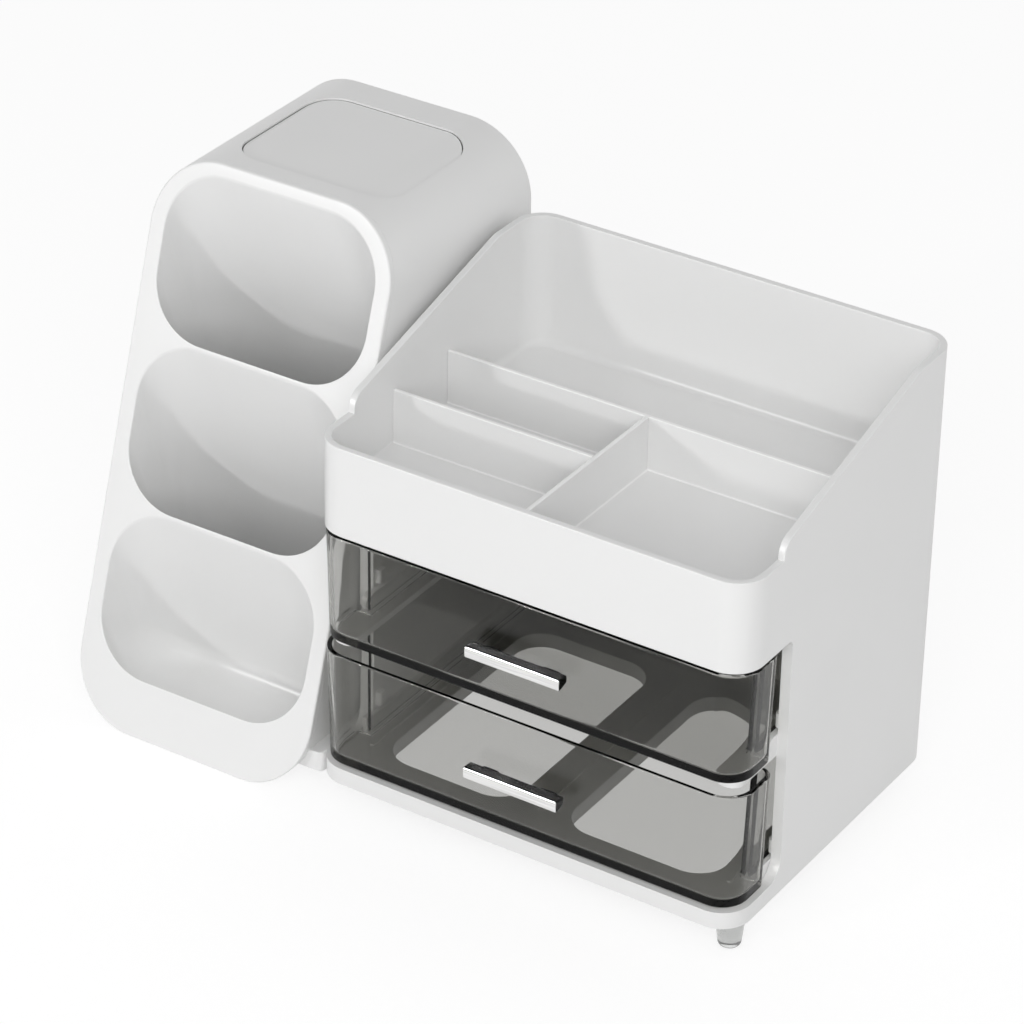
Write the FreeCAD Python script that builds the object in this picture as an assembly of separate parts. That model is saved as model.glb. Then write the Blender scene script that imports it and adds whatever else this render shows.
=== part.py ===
import FreeCAD, Part
import math
import os

# Desktop cosmetics organiser: a case with a divided tray and two smoked drawers,
# joined at its foot to a tower that holds three slanted brush wells.
#
# Working frame while modelling: x runs left to right, y front to back, z up, with the
# origin at the front left foot of the case.  Every piece is moved as it is saved, so
# that the finished object stands on z = 0, centred on its own footprint.

Vec = FreeCAD.Vector
X, Y, Z = Vec(1, 0, 0), Vec(0, 1, 0), Vec(0, 0, 1)

# case: overall form
case_width = 190.0
case_depth = 152.5
case_height = 184.5
case_corner = 13.0
cheek_wall = 4.3            # side walls beside the drawers
back_wall = 3.0
panel_wall = 2.8            # front panel and front lip
tray_wall = 3.0             # side walls above the tray floor
rim_round = 0.45
front_rim_height = 151.3
rim_notch_y = 24.5          # where the low front rim meets the rising side
rise_round = 7.0
slope_meets_notch = 157.9   # height of the sloping rim's line above the notch
crest_from_back = 28.7      # where the sloping rim turns level
crest_round = 15.0

# case: doorway of the drawers
panel_bottom = 113.0
side_setback = 34.3         # the cheeks start this far behind the front
doorway_top_round = 3.0
doorway_foot_round = 8.0

# tray
tray_floor = 127.0
tray_floor_wall = 2.4
tray_cove = 3.0             # rounded foot of the rear compartment
divider_wall = 1.8
divider_top = 150.0
divider_round = 0.5
rear_divider_y = 88.5
middle_divider_y = 51.0
cross_divider_x = 93.5
divider_clearance = 0.1

# base plate
base_top = 6.6
base_skin = 1.8
base_clearance = 0.15
window_side_margin = 20.3   # from the case's sides to the two windows
window_front_margin = 17.2
window_back_margin = 25.7
window_web = 22.8           # between the windows
window_web_x = 91.6         # middle of the web
window_corner = 13.0
glide_margin = 13.0         # from the case's side to each outer glide
glide_width = 2.0
glide_height = 0.7
glide_front_y = 20.0
glide_back_margin = 26.5
corner_block = 15.0         # square block in each corner, measured from the case's walls
block_start = 1.0           # the blocks start this far inside the case's outer faces
corner_block_under = 3.3
corner_pad = 1.8

# guides beside both drawers, and the runners that carry the upper one
guide_wall = 2.4
guide_height = 7.0
guide_gap = 0.6             # between a drawer's head and the front of the guides
guide_back_gap = 10.8       # from the back of the guides to the bay's rounded corner
runner_wall = 2.7
runner_shelf = 11.3         # from the cheek to the shelf's inner edge
runner_front_y = 6.0
runner_front_round = 5.0
runner_back_gap = 0.8       # from the back of the runner to the bay's rounded corner
runner_flange_drop = 7.0
runner_screw_front = 20.7   # first screw, behind the front of the cheek
runner_screw_back = 22.0    # second screw, ahead of the runner's back

# drawers
lower_drawer_height = 51.0
running_gap = 0.3           # under each drawer
lower_headroom = 1.9        # from the lower drawer's rim to the runners above it
upper_headroom = 1.7        # from the upper drawer's rim to the front panel
drawer_front_y = 0.4
drawer_head_back = 27.5     # back of the wide head in front of the cheeks
drawer_head_inset = 0.5     # head inside the case outline, at the rim
drawer_head_round = 4.0
least_round = 0.5
drawer_side_gap = 0.9       # between a drawer's body and the guides, at the rim
drawer_back_gap = 3.0
drawer_draft = 1.1          # how far each wall leans in from rim to floor
drawer_wall = 2.0
drawer_floor = 2.2
drawer_inner_round = 2.0
drawer_bottom_round = 0.8
plinth_height = 0.8         # shallow step under each drawer
plinth_inset = 2.2
ear_depth = 4.0             # ears at the back of each drawer that meet the stops
ear_height = 6.0
ear_over_guide = 1.5
ear_side_gap = 0.7
ear_ahead_of_corner = 0.3   # front of the ears, ahead of the bay's rounded corner
stop_depth = 4.0
stop_behind_cheek_edge = 1.5
stop_peg_radius = 1.2
stop_peg_length = 2.5

# handles
handle_length = 42.0
handle_height = 5.2
handle_depth = 5.8
handle_back_height = 3.2
handle_standoff = 1.8
handle_round = 0.7
handle_crown = 0.35         # bulge of its front face
peg_width = 7.0
peg_height = 2.4
peg_spacing = 26.0
peg_drop = 0.7              # pegs sit this far below the middle of the bar
peg_depth = 0.8             # how far each peg enters its socket in the drawer front
peg_clearance = 0.05

# feet
foot_height = 12.5
foot_radius = 5.8
foot_waist_radius = 4.4
foot_tip_round = 2.4
foot_peg_radius = 1.6
foot_peg_height = 4.4
foot_peg_clearance = 0.05
front_foot_from_side = 7.2
front_foot_from_front = 10.8
rear_foot_from_side = 22.5
rear_foot_from_back = 13.0

# brush tower
tower_gap = 4.0
tower_width = 113.0
tower_height = 225.6
tower_corner = 29.0
tower_back_y = 158.0
tower_toe_y = -5.0          # front foot of the sloping face
tower_lean = 17.6
tower_wall = 2.2
tower_back_round = 1.2
face_wall = 2.6
face_seam = 0.1
face_round = 0.7
spigot_wall = 1.2           # rim behind the face that enters the jacket's mouth
spigot_depth = 3.0
block_clearance = 0.3
well_margin = 7.1
well_first = 24.6           # from the foot of the face to the lowest well, along the face
well_last = 5.0             # from the highest well to the top of the face
well_web = 2.0              # between one well and the next
well_count = 3
well_corner = 25.0
well_slant = 20.0           # each well runs down and back at this angle off vertical
well_wall = 1.7
well_cove = 5.0
recess_left = 24.0          # from the tower's left side to the recess in its top
recess_right = 15.7
recess_behind_face = 10.1   # from the top edge of the face
recess_from_back = 16.5
recess_corner = 14.0
recess_depth = 0.8
back_boss_radius = 3.6
back_boss_height = 20.5     # above the tower's foot
back_boss_margin = 38.0     # from each side of the tower
mat_length = 44.0
mat_width = 12.0
mat_wall = 1.0
mat_round = 5.9
mat_front_y = 16.0
mat_from_back = 18.0

# bridge from the tower's foot to the case
bridge_front_y = 5.5
bridge_from_back = 20.5     # from the case's back
bridge_top = 6.2
bridge_ledge = 2.5          # thickness of the ledge that the case's left side stands on
bridge_ledge_reach = 12.0
bridge_ledge_front_y = 12.0
bridge_screw_margins = (36.5, 34.0)     # from the bridge's front and back
bridge_screw_height = 2.3

# screws
screw_radius = 1.1
screw_head_radius = 2.3
screw_head_height = 1.2
screw_clearance = 0.05
case_screw_in_corner = 3.5  # outside the centre of each rounded corner, both ways
base_screw_length = 4.6
bridge_screw_length = 11.0
runner_screw_length = 4.6
tower_screw_length = 11.0

# helping lengths
beyond = 400.0              # longer than the whole object
face_start = 20.0           # ahead of the whole sloping face
over = 1.0                  # how far a cutting tool runs past what it cuts
sunk = 0.5                  # how far a rib or lug starts inside the wall that carries it
hole_end_gap = 0.3          # from a screw's or peg's tip to the bottom of its hole
near = 0.01                 # edges this close to a plane lie on it

# values that follow from the ones above
crest_y = case_depth - crest_from_back
bay_corner = case_corner - cheek_wall
bay_corner_y = case_depth - back_wall - bay_corner
case_screw_inset = case_corner - case_screw_in_corner
window_back_y = case_depth - window_back_margin
glide_back_y = case_depth - glide_back_margin
guide_back_y = bay_corner_y - guide_back_gap
lip_height = base_top + glide_height
lower_drawer_bottom = lip_height + running_gap
lower_drawer_top = lower_drawer_bottom + lower_drawer_height
runner_top = lower_drawer_top + lower_headroom + runner_wall
runner_reach = cheek_wall + runner_shelf
runner_back_y = bay_corner_y - runner_back_gap
runner_screw_ys = (side_setback + runner_screw_front, runner_back_y - runner_screw_back)
upper_drawer_bottom = runner_top + running_gap
upper_drawer_top = panel_bottom - upper_headroom
drawer_body_inset = cheek_wall + guide_wall + drawer_side_gap
drawer_body_back = case_depth - back_wall - drawer_back_gap
drawer_body_round = case_corner - drawer_body_inset
ear_front_y = bay_corner_y - ear_ahead_of_corner
stop_reach = guide_wall
bridge_back_y = case_depth - bridge_from_back
bridge_screw_ys = (bridge_front_y + bridge_screw_margins[0], bridge_back_y - bridge_screw_margins[1])
tower_right = -tower_gap
tower_left = tower_right - tower_width
tower_foot = -foot_height
lean = math.radians(tower_lean)
tower_start_y = tower_toe_y - face_start
slant = math.radians(well_slant)
face_up = Vec(0, math.sin(lean), math.cos(lean))
face_in = Vec(0, math.cos(lean), -math.sin(lean))
face_length = tower_height / math.cos(lean)
face_top_y = tower_toe_y + tower_height * math.tan(lean)
well_opening = (face_length - well_first - well_last - (well_count - 1) * well_web) / well_count
well_pitch = well_opening + well_web
face_foot = Vec(tower_left, tower_toe_y, tower_foot)
well_down = Vec(0, math.sin(slant), -math.cos(slant))
block_inset = tower_wall + block_clearance
wells_top = face_length - well_last     # upper edge of the highest well, along the face
back_boss_top = back_boss_height + back_boss_radius
wells_back_y = (tower_toe_y + wells_top * math.sin(lean)
                + (wells_top * math.cos(lean) - back_boss_top) * math.tan(slant))
back_boss_length = tower_back_y - block_inset - wells_back_y + sunk
handle_front_y = drawer_front_y - handle_standoff - handle_depth
skirt_inside = cheek_wall + base_clearance + base_skin
guide_front_y = drawer_head_back + guide_gap

to_stand = Vec(-(tower_left + case_width) / 2, -(handle_front_y + tower_back_y) / 2, foot_height)


def box(x0, x1, y0, y1, z0, z1):
    return Part.makeBox(x1 - x0, y1 - y0, z1 - z0, Vec(x0, y0, z0))


def rounded_wire(corners, place):
    """Closed outline through (a, b, radius) corners, each corner a tangent arc."""
    count = len(corners)
    points = [place(a, b) for a, b, _ in corners]
    ends = []
    arcs = []
    for i in range(count):
        here = points[i]
        radius = corners[i][2]
        back = (points[i - 1] - here).normalize()
        ahead = (points[(i + 1) % count] - here).normalize()
        if radius == 0:
            ends.append((here, here))
            arcs.append(None)
            continue
        half = back.getAngle(ahead) / 2
        reach = radius / math.tan(half)
        bisector = (back + ahead).normalize()
        start = here + back * reach
        end = here + ahead * reach
        middle = here + bisector * (radius / math.sin(half) - radius)
        ends.append((start, end))
        arcs.append(Part.Arc(start, middle, end).toShape())
    edges = []
    for i in range(count):
        if arcs[i]:
            edges.append(arcs[i])
        start, end = ends[i][1], ends[(i + 1) % count][0]
        if start.distanceToPoint(end) > 1e-6:
            edges.append(Part.makeLine(start, end))
    return Part.Wire(edges)


def rounded_face(corners, place):
    return Part.Face(rounded_wire(corners, place))


def on_level(z):
    return lambda a, b: Vec(a, b, z)


def on_side(x):
    return lambda a, b: Vec(x, a, b)


def across(y):
    return lambda a, b: Vec(a, y, b)


def on_tower_face(a, b):
    """Point on the sloping face: a from the tower's left side, b up from its foot."""
    return face_foot + X * a + face_up * b


def rectangle(x0, x1, y0, y1, r_front, r_back):
    return [(x0, y0, r_front), (x1, y0, r_front), (x1, y1, r_back), (x0, y1, r_back)]


def plate(x0, x1, y0, y1, z0, z1, radius):
    corners = rectangle(x0, x1, y0, y1, radius, radius)
    return rounded_face(corners, on_level(z0)).extrude(Z * (z1 - z0))


def rod(radius, length, start, axis):
    return Part.makeCylinder(radius, length, start, axis)


def level_edges(shape, z):
    """Edges that lie flat at height z."""
    return [e for e in shape.Edges
            if abs(e.BoundBox.ZMin - z) < near and abs(e.BoundBox.ZMax - z) < near]


def mirrored(shape):
    """The same piece on the other side of the case."""
    return shape.mirror(Vec(case_width / 2, 0, 0), X)


def save(name, solids):
    shape = solids[0] if len(solids) == 1 else Part.makeCompound(solids)
    if not shape.isValid():
        print("not valid:", name)
    moved = shape.copy()
    moved.translate(to_stand)
    moved.exportStep(os.path.join("parts", name + ".step"))
    print(name, len(moved.Solids), round(moved.Volume))


# screws

def pan_screw(start, axis, length):
    """Screw whose head rests at start, with its shank along axis."""
    top = start - axis * screw_head_height
    head = Part.makeCone(screw_head_radius - screw_head_height / 2, screw_head_radius,
                         screw_head_height, top, axis)
    return rod(screw_radius, length, start, axis).fuse(head)


def flush_screw(start, axis, length):
    """Countersunk screw whose head is flush with the surface at start."""
    cone = Part.makeCone(screw_head_radius, screw_radius, screw_head_height, start, axis)
    return rod(screw_radius, length, start, axis).fuse(cone)


def flush_screw_hole(start, axis, length):
    cone = Part.makeCone(screw_head_radius + screw_clearance, screw_radius + screw_clearance,
                         screw_head_height, start, axis)
    return screw_hole(start, axis, length).fuse(cone)


def screw_hole(start, axis, length):
    return rod(screw_radius + screw_clearance, length, start, axis)


# case

def case_profile():
    """Side outline of the case: low front rim, rising curve, long slope, level back."""
    return rounded_face([
        (-over, 0, 0),
        (case_depth + over, 0, 0),
        (case_depth + over, case_height, 0),
        (crest_y, case_height, crest_round),
        (rim_notch_y, slope_meets_notch, rise_round),
        (rim_notch_y, front_rim_height, 0),
        (-over, front_rim_height, 0),
    ], on_side(-over)).extrude(X * (case_width + 2 * over))


def doorway():
    """The drawers' opening: right across the front and round both front corners."""
    return rounded_face([
        (-over, lip_height, 0),
        (side_setback, lip_height, doorway_foot_round),
        (side_setback, panel_bottom, doorway_top_round),
        (-over, panel_bottom, 0),
    ], on_side(-over)).extrude(X * (case_width + 2 * over))


def tray_cavity():
    inner_corner = case_corner - tray_wall
    left, right = tray_wall, case_width - tray_wall
    meet = rear_divider_y + divider_wall / 2 + divider_clearance
    front = rounded_face(rectangle(left, right, panel_wall, meet, inner_corner, 0),
                         on_level(tray_floor)).extrude(Z * beyond)
    rear = rounded_face(rectangle(left, right, meet, case_depth - back_wall, 0, inner_corner),
                        on_level(tray_floor)).extrude(Z * beyond)
    foot = [e for e in level_edges(rear, tray_floor) if e.BoundBox.YMax > meet + near]
    return front.fuse(rear.makeFillet(tray_cove, foot))


def corner_blocks(grow, bottom, top):
    """Blocks low in the case's four corners, run well into its walls."""
    size_x = cheek_wall - block_start + corner_block + grow
    size_y = panel_wall - block_start + corner_block + grow
    far_x = case_width - block_start - size_x
    far_y = case_depth - block_start - size_y
    return [box(x0, x0 + size_x, y0, y0 + size_y, bottom, top)
            for x0 in (block_start, far_x) for y0 in (block_start, far_y)]


def case_screw_places():
    """Corner screws; the front right corner is held by the front foot's peg instead."""
    inset = case_screw_inset
    far_x, far_y = case_width - inset, case_depth - inset
    return [(inset, inset), (inset, far_y), (far_x, far_y)]


def foot_places():
    return {
        "front_foot": (case_width - front_foot_from_side, front_foot_from_front),
        "rear_foot": (case_width - rear_foot_from_side, case_depth - rear_foot_from_back),
    }


def foot_peg_hole(x, y):
    return rod(foot_peg_radius + foot_peg_clearance, foot_peg_height + hole_end_gap, Vec(x, y, 0), Z)


def bridge_screw_start(y):
    """Each bridge screw starts inside the base plate's skirt and runs out to the bridge."""
    return Vec(skirt_inside, y, bridge_screw_height)


def bridge_screw_hole(y):
    return screw_hole(bridge_screw_start(y), -X, bridge_screw_length + hole_end_gap)


def stop_places():
    """Front lower inner corner of each stop on the left cheek."""
    for guide_foot in (base_top, runner_top):
        yield (side_setback + stop_behind_cheek_edge, guide_foot + guide_height + ear_over_guide)


def stop_peg(y, z, clearance):
    centre = Vec(cheek_wall, y + stop_depth / 2, z + ear_height / 2)
    return rod(stop_peg_radius + clearance, stop_peg_length + clearance, centre, -X)


def is_notch_edge(edge):
    """Short crosswise edges in the corner where the low rim meets the rising side."""
    bound = edge.BoundBox
    return abs(bound.YMin - rim_notch_y) < near and bound.YLength < near and bound.ZLength < near


def make_case():
    plan = plate(0, case_width, 0, case_depth, 0, case_height, case_corner)
    shell = plan.common(case_profile()).cut(tray_cavity())
    rim = [e for e in shell.Edges
           if e.BoundBox.ZMin > front_rim_height - near and not is_notch_edge(e)]
    shell = shell.makeFillet(rim_round, rim)
    bay = plate(cheek_wall, case_width - cheek_wall, panel_wall, case_depth - back_wall,
                -over, tray_floor - tray_floor_wall, bay_corner)
    shell = shell.cut(bay.fuse(doorway()))
    inner_plan = plate(block_start, case_width - block_start, block_start, case_depth - block_start,
                       0, base_top, case_corner - block_start)
    for block in corner_blocks(0, corner_block_under, base_top):
        shell = shell.fuse(block.common(inner_plan))
    holes = [screw_hole(Vec(x, y, corner_block_under - over), Z, base_screw_length)
             for x, y in case_screw_places()]
    holes.append(foot_peg_hole(*foot_places()["front_foot"]))
    holes += [bridge_screw_hole(y) for y in bridge_screw_ys]
    for y, z in stop_places():
        holes += both_sides(stop_peg(y, z, screw_clearance))
    for y in runner_screw_ys:
        holes += both_sides(screw_hole(runner_screw_start(y), -X, runner_screw_length + hole_end_gap))
    return shell.cut(holes)


def both_sides(shape):
    return [shape, mirrored(shape)]


# tray dividers

def crowned(divider):
    top = [e for e in level_edges(divider, divider_top) if e.Length > 3 * divider_wall]
    return divider.makeFillet(divider_round, top)


def make_dividers():
    gap = divider_clearance
    left = tray_wall + gap
    right = case_width - tray_wall - gap
    floor = tray_floor
    front = panel_wall + gap
    half = divider_wall / 2
    rear = box(left, right, rear_divider_y - half, rear_divider_y + half, floor, divider_top)
    cross = box(cross_divider_x - half, cross_divider_x + half,
                front, rear_divider_y - half - gap, floor, divider_top)
    middle = box(left, cross_divider_x - half - gap,
                 middle_divider_y - half, middle_divider_y + half, floor, divider_top)
    return {
        "rear_divider": crowned(rear),
        "cross_divider": crowned(cross),
        "middle_divider": crowned(middle),
    }


# base plate

def window(x0, x1, grow, z0, z1):
    return plate(x0 - grow, x1 + grow, window_front_margin - grow, window_back_y + grow,
                 z0, z1, window_corner + grow)


def base_windows(grow, z0, z1):
    half_web = window_web / 2
    left = window(window_side_margin, window_web_x - half_web, grow, z0, z1)
    right = window(window_web_x + half_web, case_width - window_side_margin, grow, z0, z1)
    return left.fuse(right)


def base_outline(inset, z0, z1):
    side = cheek_wall + base_clearance + inset
    return plate(side, case_width - side, panel_wall + base_clearance + inset,
                 case_depth - back_wall - base_clearance - inset, z0, z1,
                 bay_corner - base_clearance - inset)


def make_base_plate():
    """Tray-like plate with skirts round its edge and round both windows."""
    shell = base_outline(0, 0, base_top)
    hollow = base_outline(base_skin, -over, base_top - base_skin)
    hollow = hollow.cut(base_windows(base_skin, -over, base_top))
    shell = shell.cut(hollow).cut(base_windows(0, -over, base_top + over))
    under = corner_block_under - corner_pad
    pads = corner_blocks(base_clearance + base_skin, under, corner_block_under - base_clearance)
    bosses = [rod(foot_radius, base_top - base_skin, Vec(x, y, 0), Z)
              for x, y in foot_places().values()]
    inside = base_outline(0, 0, base_top)
    for part in pads + bosses:
        shell = shell.fuse(part.common(inside))
    for block in corner_blocks(base_clearance, corner_block_under - base_clearance, beyond):
        shell = shell.cut(block)
    last_glide = case_width - glide_margin - glide_width
    for x in (glide_margin, window_web_x - glide_width / 2, last_glide):
        shell = shell.fuse(box(x, x + glide_width, glide_front_y, glide_back_y,
                               base_top - sunk, base_top + glide_height))
    guide = box(cheek_wall + base_clearance, cheek_wall + guide_wall, guide_front_y, guide_back_y,
                base_top - sunk, base_top + guide_height)
    for side in both_sides(softened_guide(guide, base_top + guide_height)):
        shell = shell.fuse(side)
    holes = [screw_hole(Vec(x, y, 0), Z, base_top) for x, y in case_screw_places()]
    holes += [foot_peg_hole(x, y) for x, y in foot_places().values()]
    holes += [bridge_screw_hole(y) for y in bridge_screw_ys]
    return shell.cut(holes)


def softened_guide(guide, top):
    """Guide with its upper front corner rounded off as a lead-in."""
    nose = [e for e in level_edges(guide, top) if e.BoundBox.YMax < guide_front_y + near]
    return guide.makeFillet(guide_height / 2, nose)


# runners of the upper drawer

def runner_screw_start(y):
    return Vec(cheek_wall + guide_wall, y, runner_top - runner_wall - runner_flange_drop / 2)


def make_runner():
    """Shelf with a guide above it and a flange below that is screwed to the cheek."""
    under = runner_top - runner_wall
    shelf = rounded_face([
        (cheek_wall, runner_front_y, runner_front_round),
        (runner_reach, runner_front_y, runner_front_round),
        (runner_reach, runner_back_y, 0),
        (cheek_wall, runner_back_y, 0),
    ], on_level(under)).extrude(Z * runner_wall)
    guide = box(cheek_wall, cheek_wall + guide_wall, guide_front_y, guide_back_y,
                runner_top - sunk, runner_top + guide_height)
    flange = box(cheek_wall, cheek_wall + guide_wall, side_setback + runner_front_round,
                 runner_back_y, under - runner_flange_drop, under + sunk)
    runner = shelf.fuse([softened_guide(guide, runner_top + guide_height), flange])
    for y in runner_screw_ys:
        runner = runner.cut(flush_screw_hole(runner_screw_start(y), -X, runner_screw_length))
    return runner.removeSplitter()


def make_stops():
    stops = []
    for y, z in stop_places():
        stop = box(cheek_wall, cheek_wall + stop_reach, y, y + stop_depth, z, z + ear_height)
        front = [e for e in stop.Edges if e.BoundBox.YMax < y + near
                 and e.BoundBox.XMin > cheek_wall + near]
        stops += both_sides(stop.makeFillet(stop_reach / 2, front).fuse(stop_peg(y, z, 0)))
    return stops


# drawers

def drawer_loft(outline, bottom, top, z0, z1, inset):
    """Solid between two heights, its walls leaning in towards the drawer's floor."""
    def section(z):
        tuck = inset + drawer_draft * (top - z) / (top - bottom)
        return rounded_wire(outline(tuck), on_level(z))
    return Part.makeLoft([section(z0), section(z1)], True, True)


def head_outline(tuck):
    side = drawer_head_inset + tuck
    return rectangle(side, case_width - side, drawer_front_y + tuck, drawer_head_back - tuck,
                     case_corner - drawer_head_inset - tuck, max(drawer_head_round - tuck, least_round))


def body_outline(tuck):
    side = drawer_body_inset + tuck
    mid_head = (drawer_front_y + drawer_head_back) / 2
    return rectangle(side, case_width - side, mid_head, drawer_body_back - tuck,
                     0, drawer_body_round - tuck)


def drawer_form(bottom, top, z0, z1, inset):
    head = drawer_loft(head_outline, bottom, top, z0, z1, inset)
    body = drawer_loft(body_outline, bottom, top, z0, z1, inset)
    return head.fuse(body).removeSplitter()


def handle_height_at(bottom, top):
    return (bottom + top) / 2


def handle_pegs(bottom, top, clearance):
    """The two pegs that join a handle to its drawer front."""
    middle = handle_height_at(bottom, top)
    half_width = peg_width / 2 + clearance
    half_height = peg_height / 2 + clearance
    start = drawer_front_y - handle_standoff - sunk
    lean_in = drawer_draft * (top - middle) / (top - bottom)
    end = drawer_front_y + lean_in + peg_depth + clearance
    centres = [case_width / 2 + side * peg_spacing / 2 for side in (-1, 1)]
    return [box(x - half_width, x + half_width, start, end, middle - peg_drop - half_height,
                middle - peg_drop + half_height) for x in centres]


def make_drawer(bottom, top, guide_foot):
    floor = bottom + plinth_height
    outer = drawer_form(bottom, top, floor, top, 0)
    outer = outer.makeFillet(drawer_bottom_round, level_edges(outer, floor))
    plinth = drawer_form(bottom, top, bottom, floor + sunk, plinth_inset)
    cavity_floor = floor + drawer_floor
    cavity = drawer_form(bottom, top, cavity_floor, top + over, drawer_wall)
    cavity = cavity.makeFillet(drawer_inner_round, level_edges(cavity, cavity_floor))
    ear_foot = guide_foot + guide_height + ear_over_guide
    ear = box(cheek_wall + ear_side_gap, drawer_body_inset + drawer_draft + sunk,
              ear_front_y, ear_front_y + ear_depth - drawer_draft, ear_foot, ear_foot + ear_height)
    tub = outer.fuse([plinth] + both_sides(ear)).cut(cavity)
    for socket in handle_pegs(bottom, top, peg_clearance):
        tub = tub.cut(socket)
    return tub


def make_handle(bottom, top):
    """Bar that is taller in front than behind, standing off the drawer on two pegs."""
    middle = handle_height_at(bottom, top)
    upper = middle + handle_height / 2
    lower = middle - handle_height / 2
    back = handle_front_y + handle_depth
    lift = handle_height - handle_back_height
    crest = Vec(0, handle_front_y, middle)
    top_front = Vec(0, handle_front_y + handle_crown, upper)
    bottom_front = Vec(0, handle_front_y + handle_crown, lower)
    top_back = Vec(0, back, upper - lift / 4)
    bottom_back = Vec(0, back, lower + 3 * lift / 4)
    edges = [Part.Arc(bottom_front, crest, top_front).toShape(),
             Part.makeLine(top_front, top_back),
             Part.makeLine(top_back, bottom_back),
             Part.makeLine(bottom_back, bottom_front)]
    bar = Part.Face(Part.Wire(edges)).extrude(X * handle_length)
    bar.translate(X * (case_width - handle_length) / 2)
    bar = bar.makeFillet(handle_round, bar.Edges)
    return bar.fuse(handle_pegs(bottom, top, 0))


# feet

def make_foot(x, y):
    """Tapered bumper with a domed tip and a peg that enters the case."""
    outline = [Vec(0, 0, foot_peg_height), Vec(foot_peg_radius, 0, foot_peg_height),
               Vec(foot_peg_radius, 0, 0), Vec(foot_radius, 0, 0),
               Vec(foot_waist_radius, 0, -foot_height), Vec(0, 0, -foot_height)]
    section = Part.Face(Part.makePolygon(outline + outline[:1]))
    foot = section.revolve(Vec(0, 0, 0), Z, 360)
    foot = foot.makeFillet(foot_tip_round, level_edges(foot, -foot_height))
    foot.translate(Vec(x, y, 0))
    return foot


# tower

def tower_prism(inset, y0, y1):
    """Rounded-rectangle section of the tower, run from front to back."""
    corners = rectangle(tower_left + inset, tower_right - inset, tower_foot + inset,
                        tower_foot + tower_height - inset, tower_corner - inset, tower_corner - inset)
    return rounded_face(corners, across(y0)).extrude(Y * (y1 - y0))


def behind_face(depth):
    """Everything further back than a plane this deep behind the sloping face."""
    start = Vec(0, tower_toe_y, tower_foot) + face_in * depth
    low = start - face_up * beyond
    high = start + face_up * beyond
    corners = [low, high, high + Y * beyond, low + Y * beyond]
    side = Part.Face(Part.makePolygon(corners + corners[:1]))
    side.translate(X * (tower_left - over))
    return side.extrude(X * (tower_width + 2 * over))


def well_prism(index, grow):
    """Slanted run of one well, from in front of the face down past the tower's foot."""
    along = grow / math.sin(lean + slant)
    s0 = well_first + index * well_pitch
    corners = rectangle(well_margin - grow, tower_width - well_margin + grow,
                        s0 - along, s0 + well_opening + along, well_corner + grow, well_corner + grow)
    mouth = rounded_face(corners, on_tower_face)
    mouth.translate(-well_down * face_start)
    return mouth.extrude(well_down * beyond)


def well_cavity(index):
    room = tower_prism(block_inset + well_wall, tower_start_y, tower_back_y)
    cavity = well_prism(index, 0).common(room)
    foot = [e for e in cavity.Edges if is_well_foot(e, cavity)]
    return cavity.makeFillet(well_cove, foot)


def is_well_foot(edge, cavity):
    """Edges that close a well's lower end across its front and back."""
    low = cavity.BoundBox.ZMin
    bound = edge.BoundBox
    return bound.ZMax < low + tower_corner and bound.XLength > over


def make_brush_block():
    """Sloping face, its spigot rim and the three wells behind it, in one moulding."""
    prism = tower_prism(0, tower_start_y, tower_back_y)
    face = prism.common(behind_face(0)).cut(behind_face(face_wall))
    block = face.makeFillet(face_round, front_outline(face))
    rim_outside = tower_prism(block_inset, tower_start_y, tower_back_y)
    rim_inside = tower_prism(block_inset + spigot_wall, tower_start_y, tower_back_y)
    spigot = rim_outside.cut(rim_inside).common(behind_face(face_wall - sunk))
    spigot = spigot.cut(behind_face(face_wall + spigot_depth))
    block = block.fuse(spigot)
    room = rim_outside.common(behind_face(face_wall - sunk))
    for index in range(well_count):
        block = block.fuse(well_prism(index, well_wall).common(room))
    for centre in back_boss_places():
        end = centre - Y * block_inset
        block = block.fuse(rod(back_boss_radius, back_boss_length, end, -Y))
    for index in range(well_count):
        block = block.cut(well_cavity(index))
    for centre in back_boss_places():
        block = block.cut(screw_hole(centre, -Y, tower_screw_length + hole_end_gap))
    return block


def front_outline(face):
    """Edges of the face plate that lie in its front plane."""
    foot = Vec(0, tower_toe_y, tower_foot)
    return [e for e in face.Edges
            if all(abs((v.Point - foot).dot(face_in)) < near for v in e.Vertexes)]


def back_boss_places():
    """Screw heads' centres on the tower's back."""
    z = tower_foot + back_boss_height
    return [Vec(x, tower_back_y, z)
            for x in (tower_left + back_boss_margin, tower_right - back_boss_margin)]


def top_recess():
    """Shallow panel that follows the tower's top and runs onto its shoulders."""
    skin = tower_prism(0, 0, tower_back_y).cut(tower_prism(recess_depth, 0, tower_back_y))
    middle = tower_foot + tower_height / 2
    return skin.common(plate(tower_left + recess_left, tower_right - recess_right,
                             face_top_y + recess_behind_face, tower_back_y - recess_from_back,
                             middle, beyond, recess_corner))


def make_mats():
    middle = (tower_left + tower_right) / 2
    return [plate(middle - mat_length / 2, middle + mat_length / 2, y - mat_width / 2,
                  y + mat_width / 2, tower_foot, tower_foot + mat_wall, mat_round)
            for y in (mat_front_y, tower_back_y - mat_from_back)]


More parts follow.
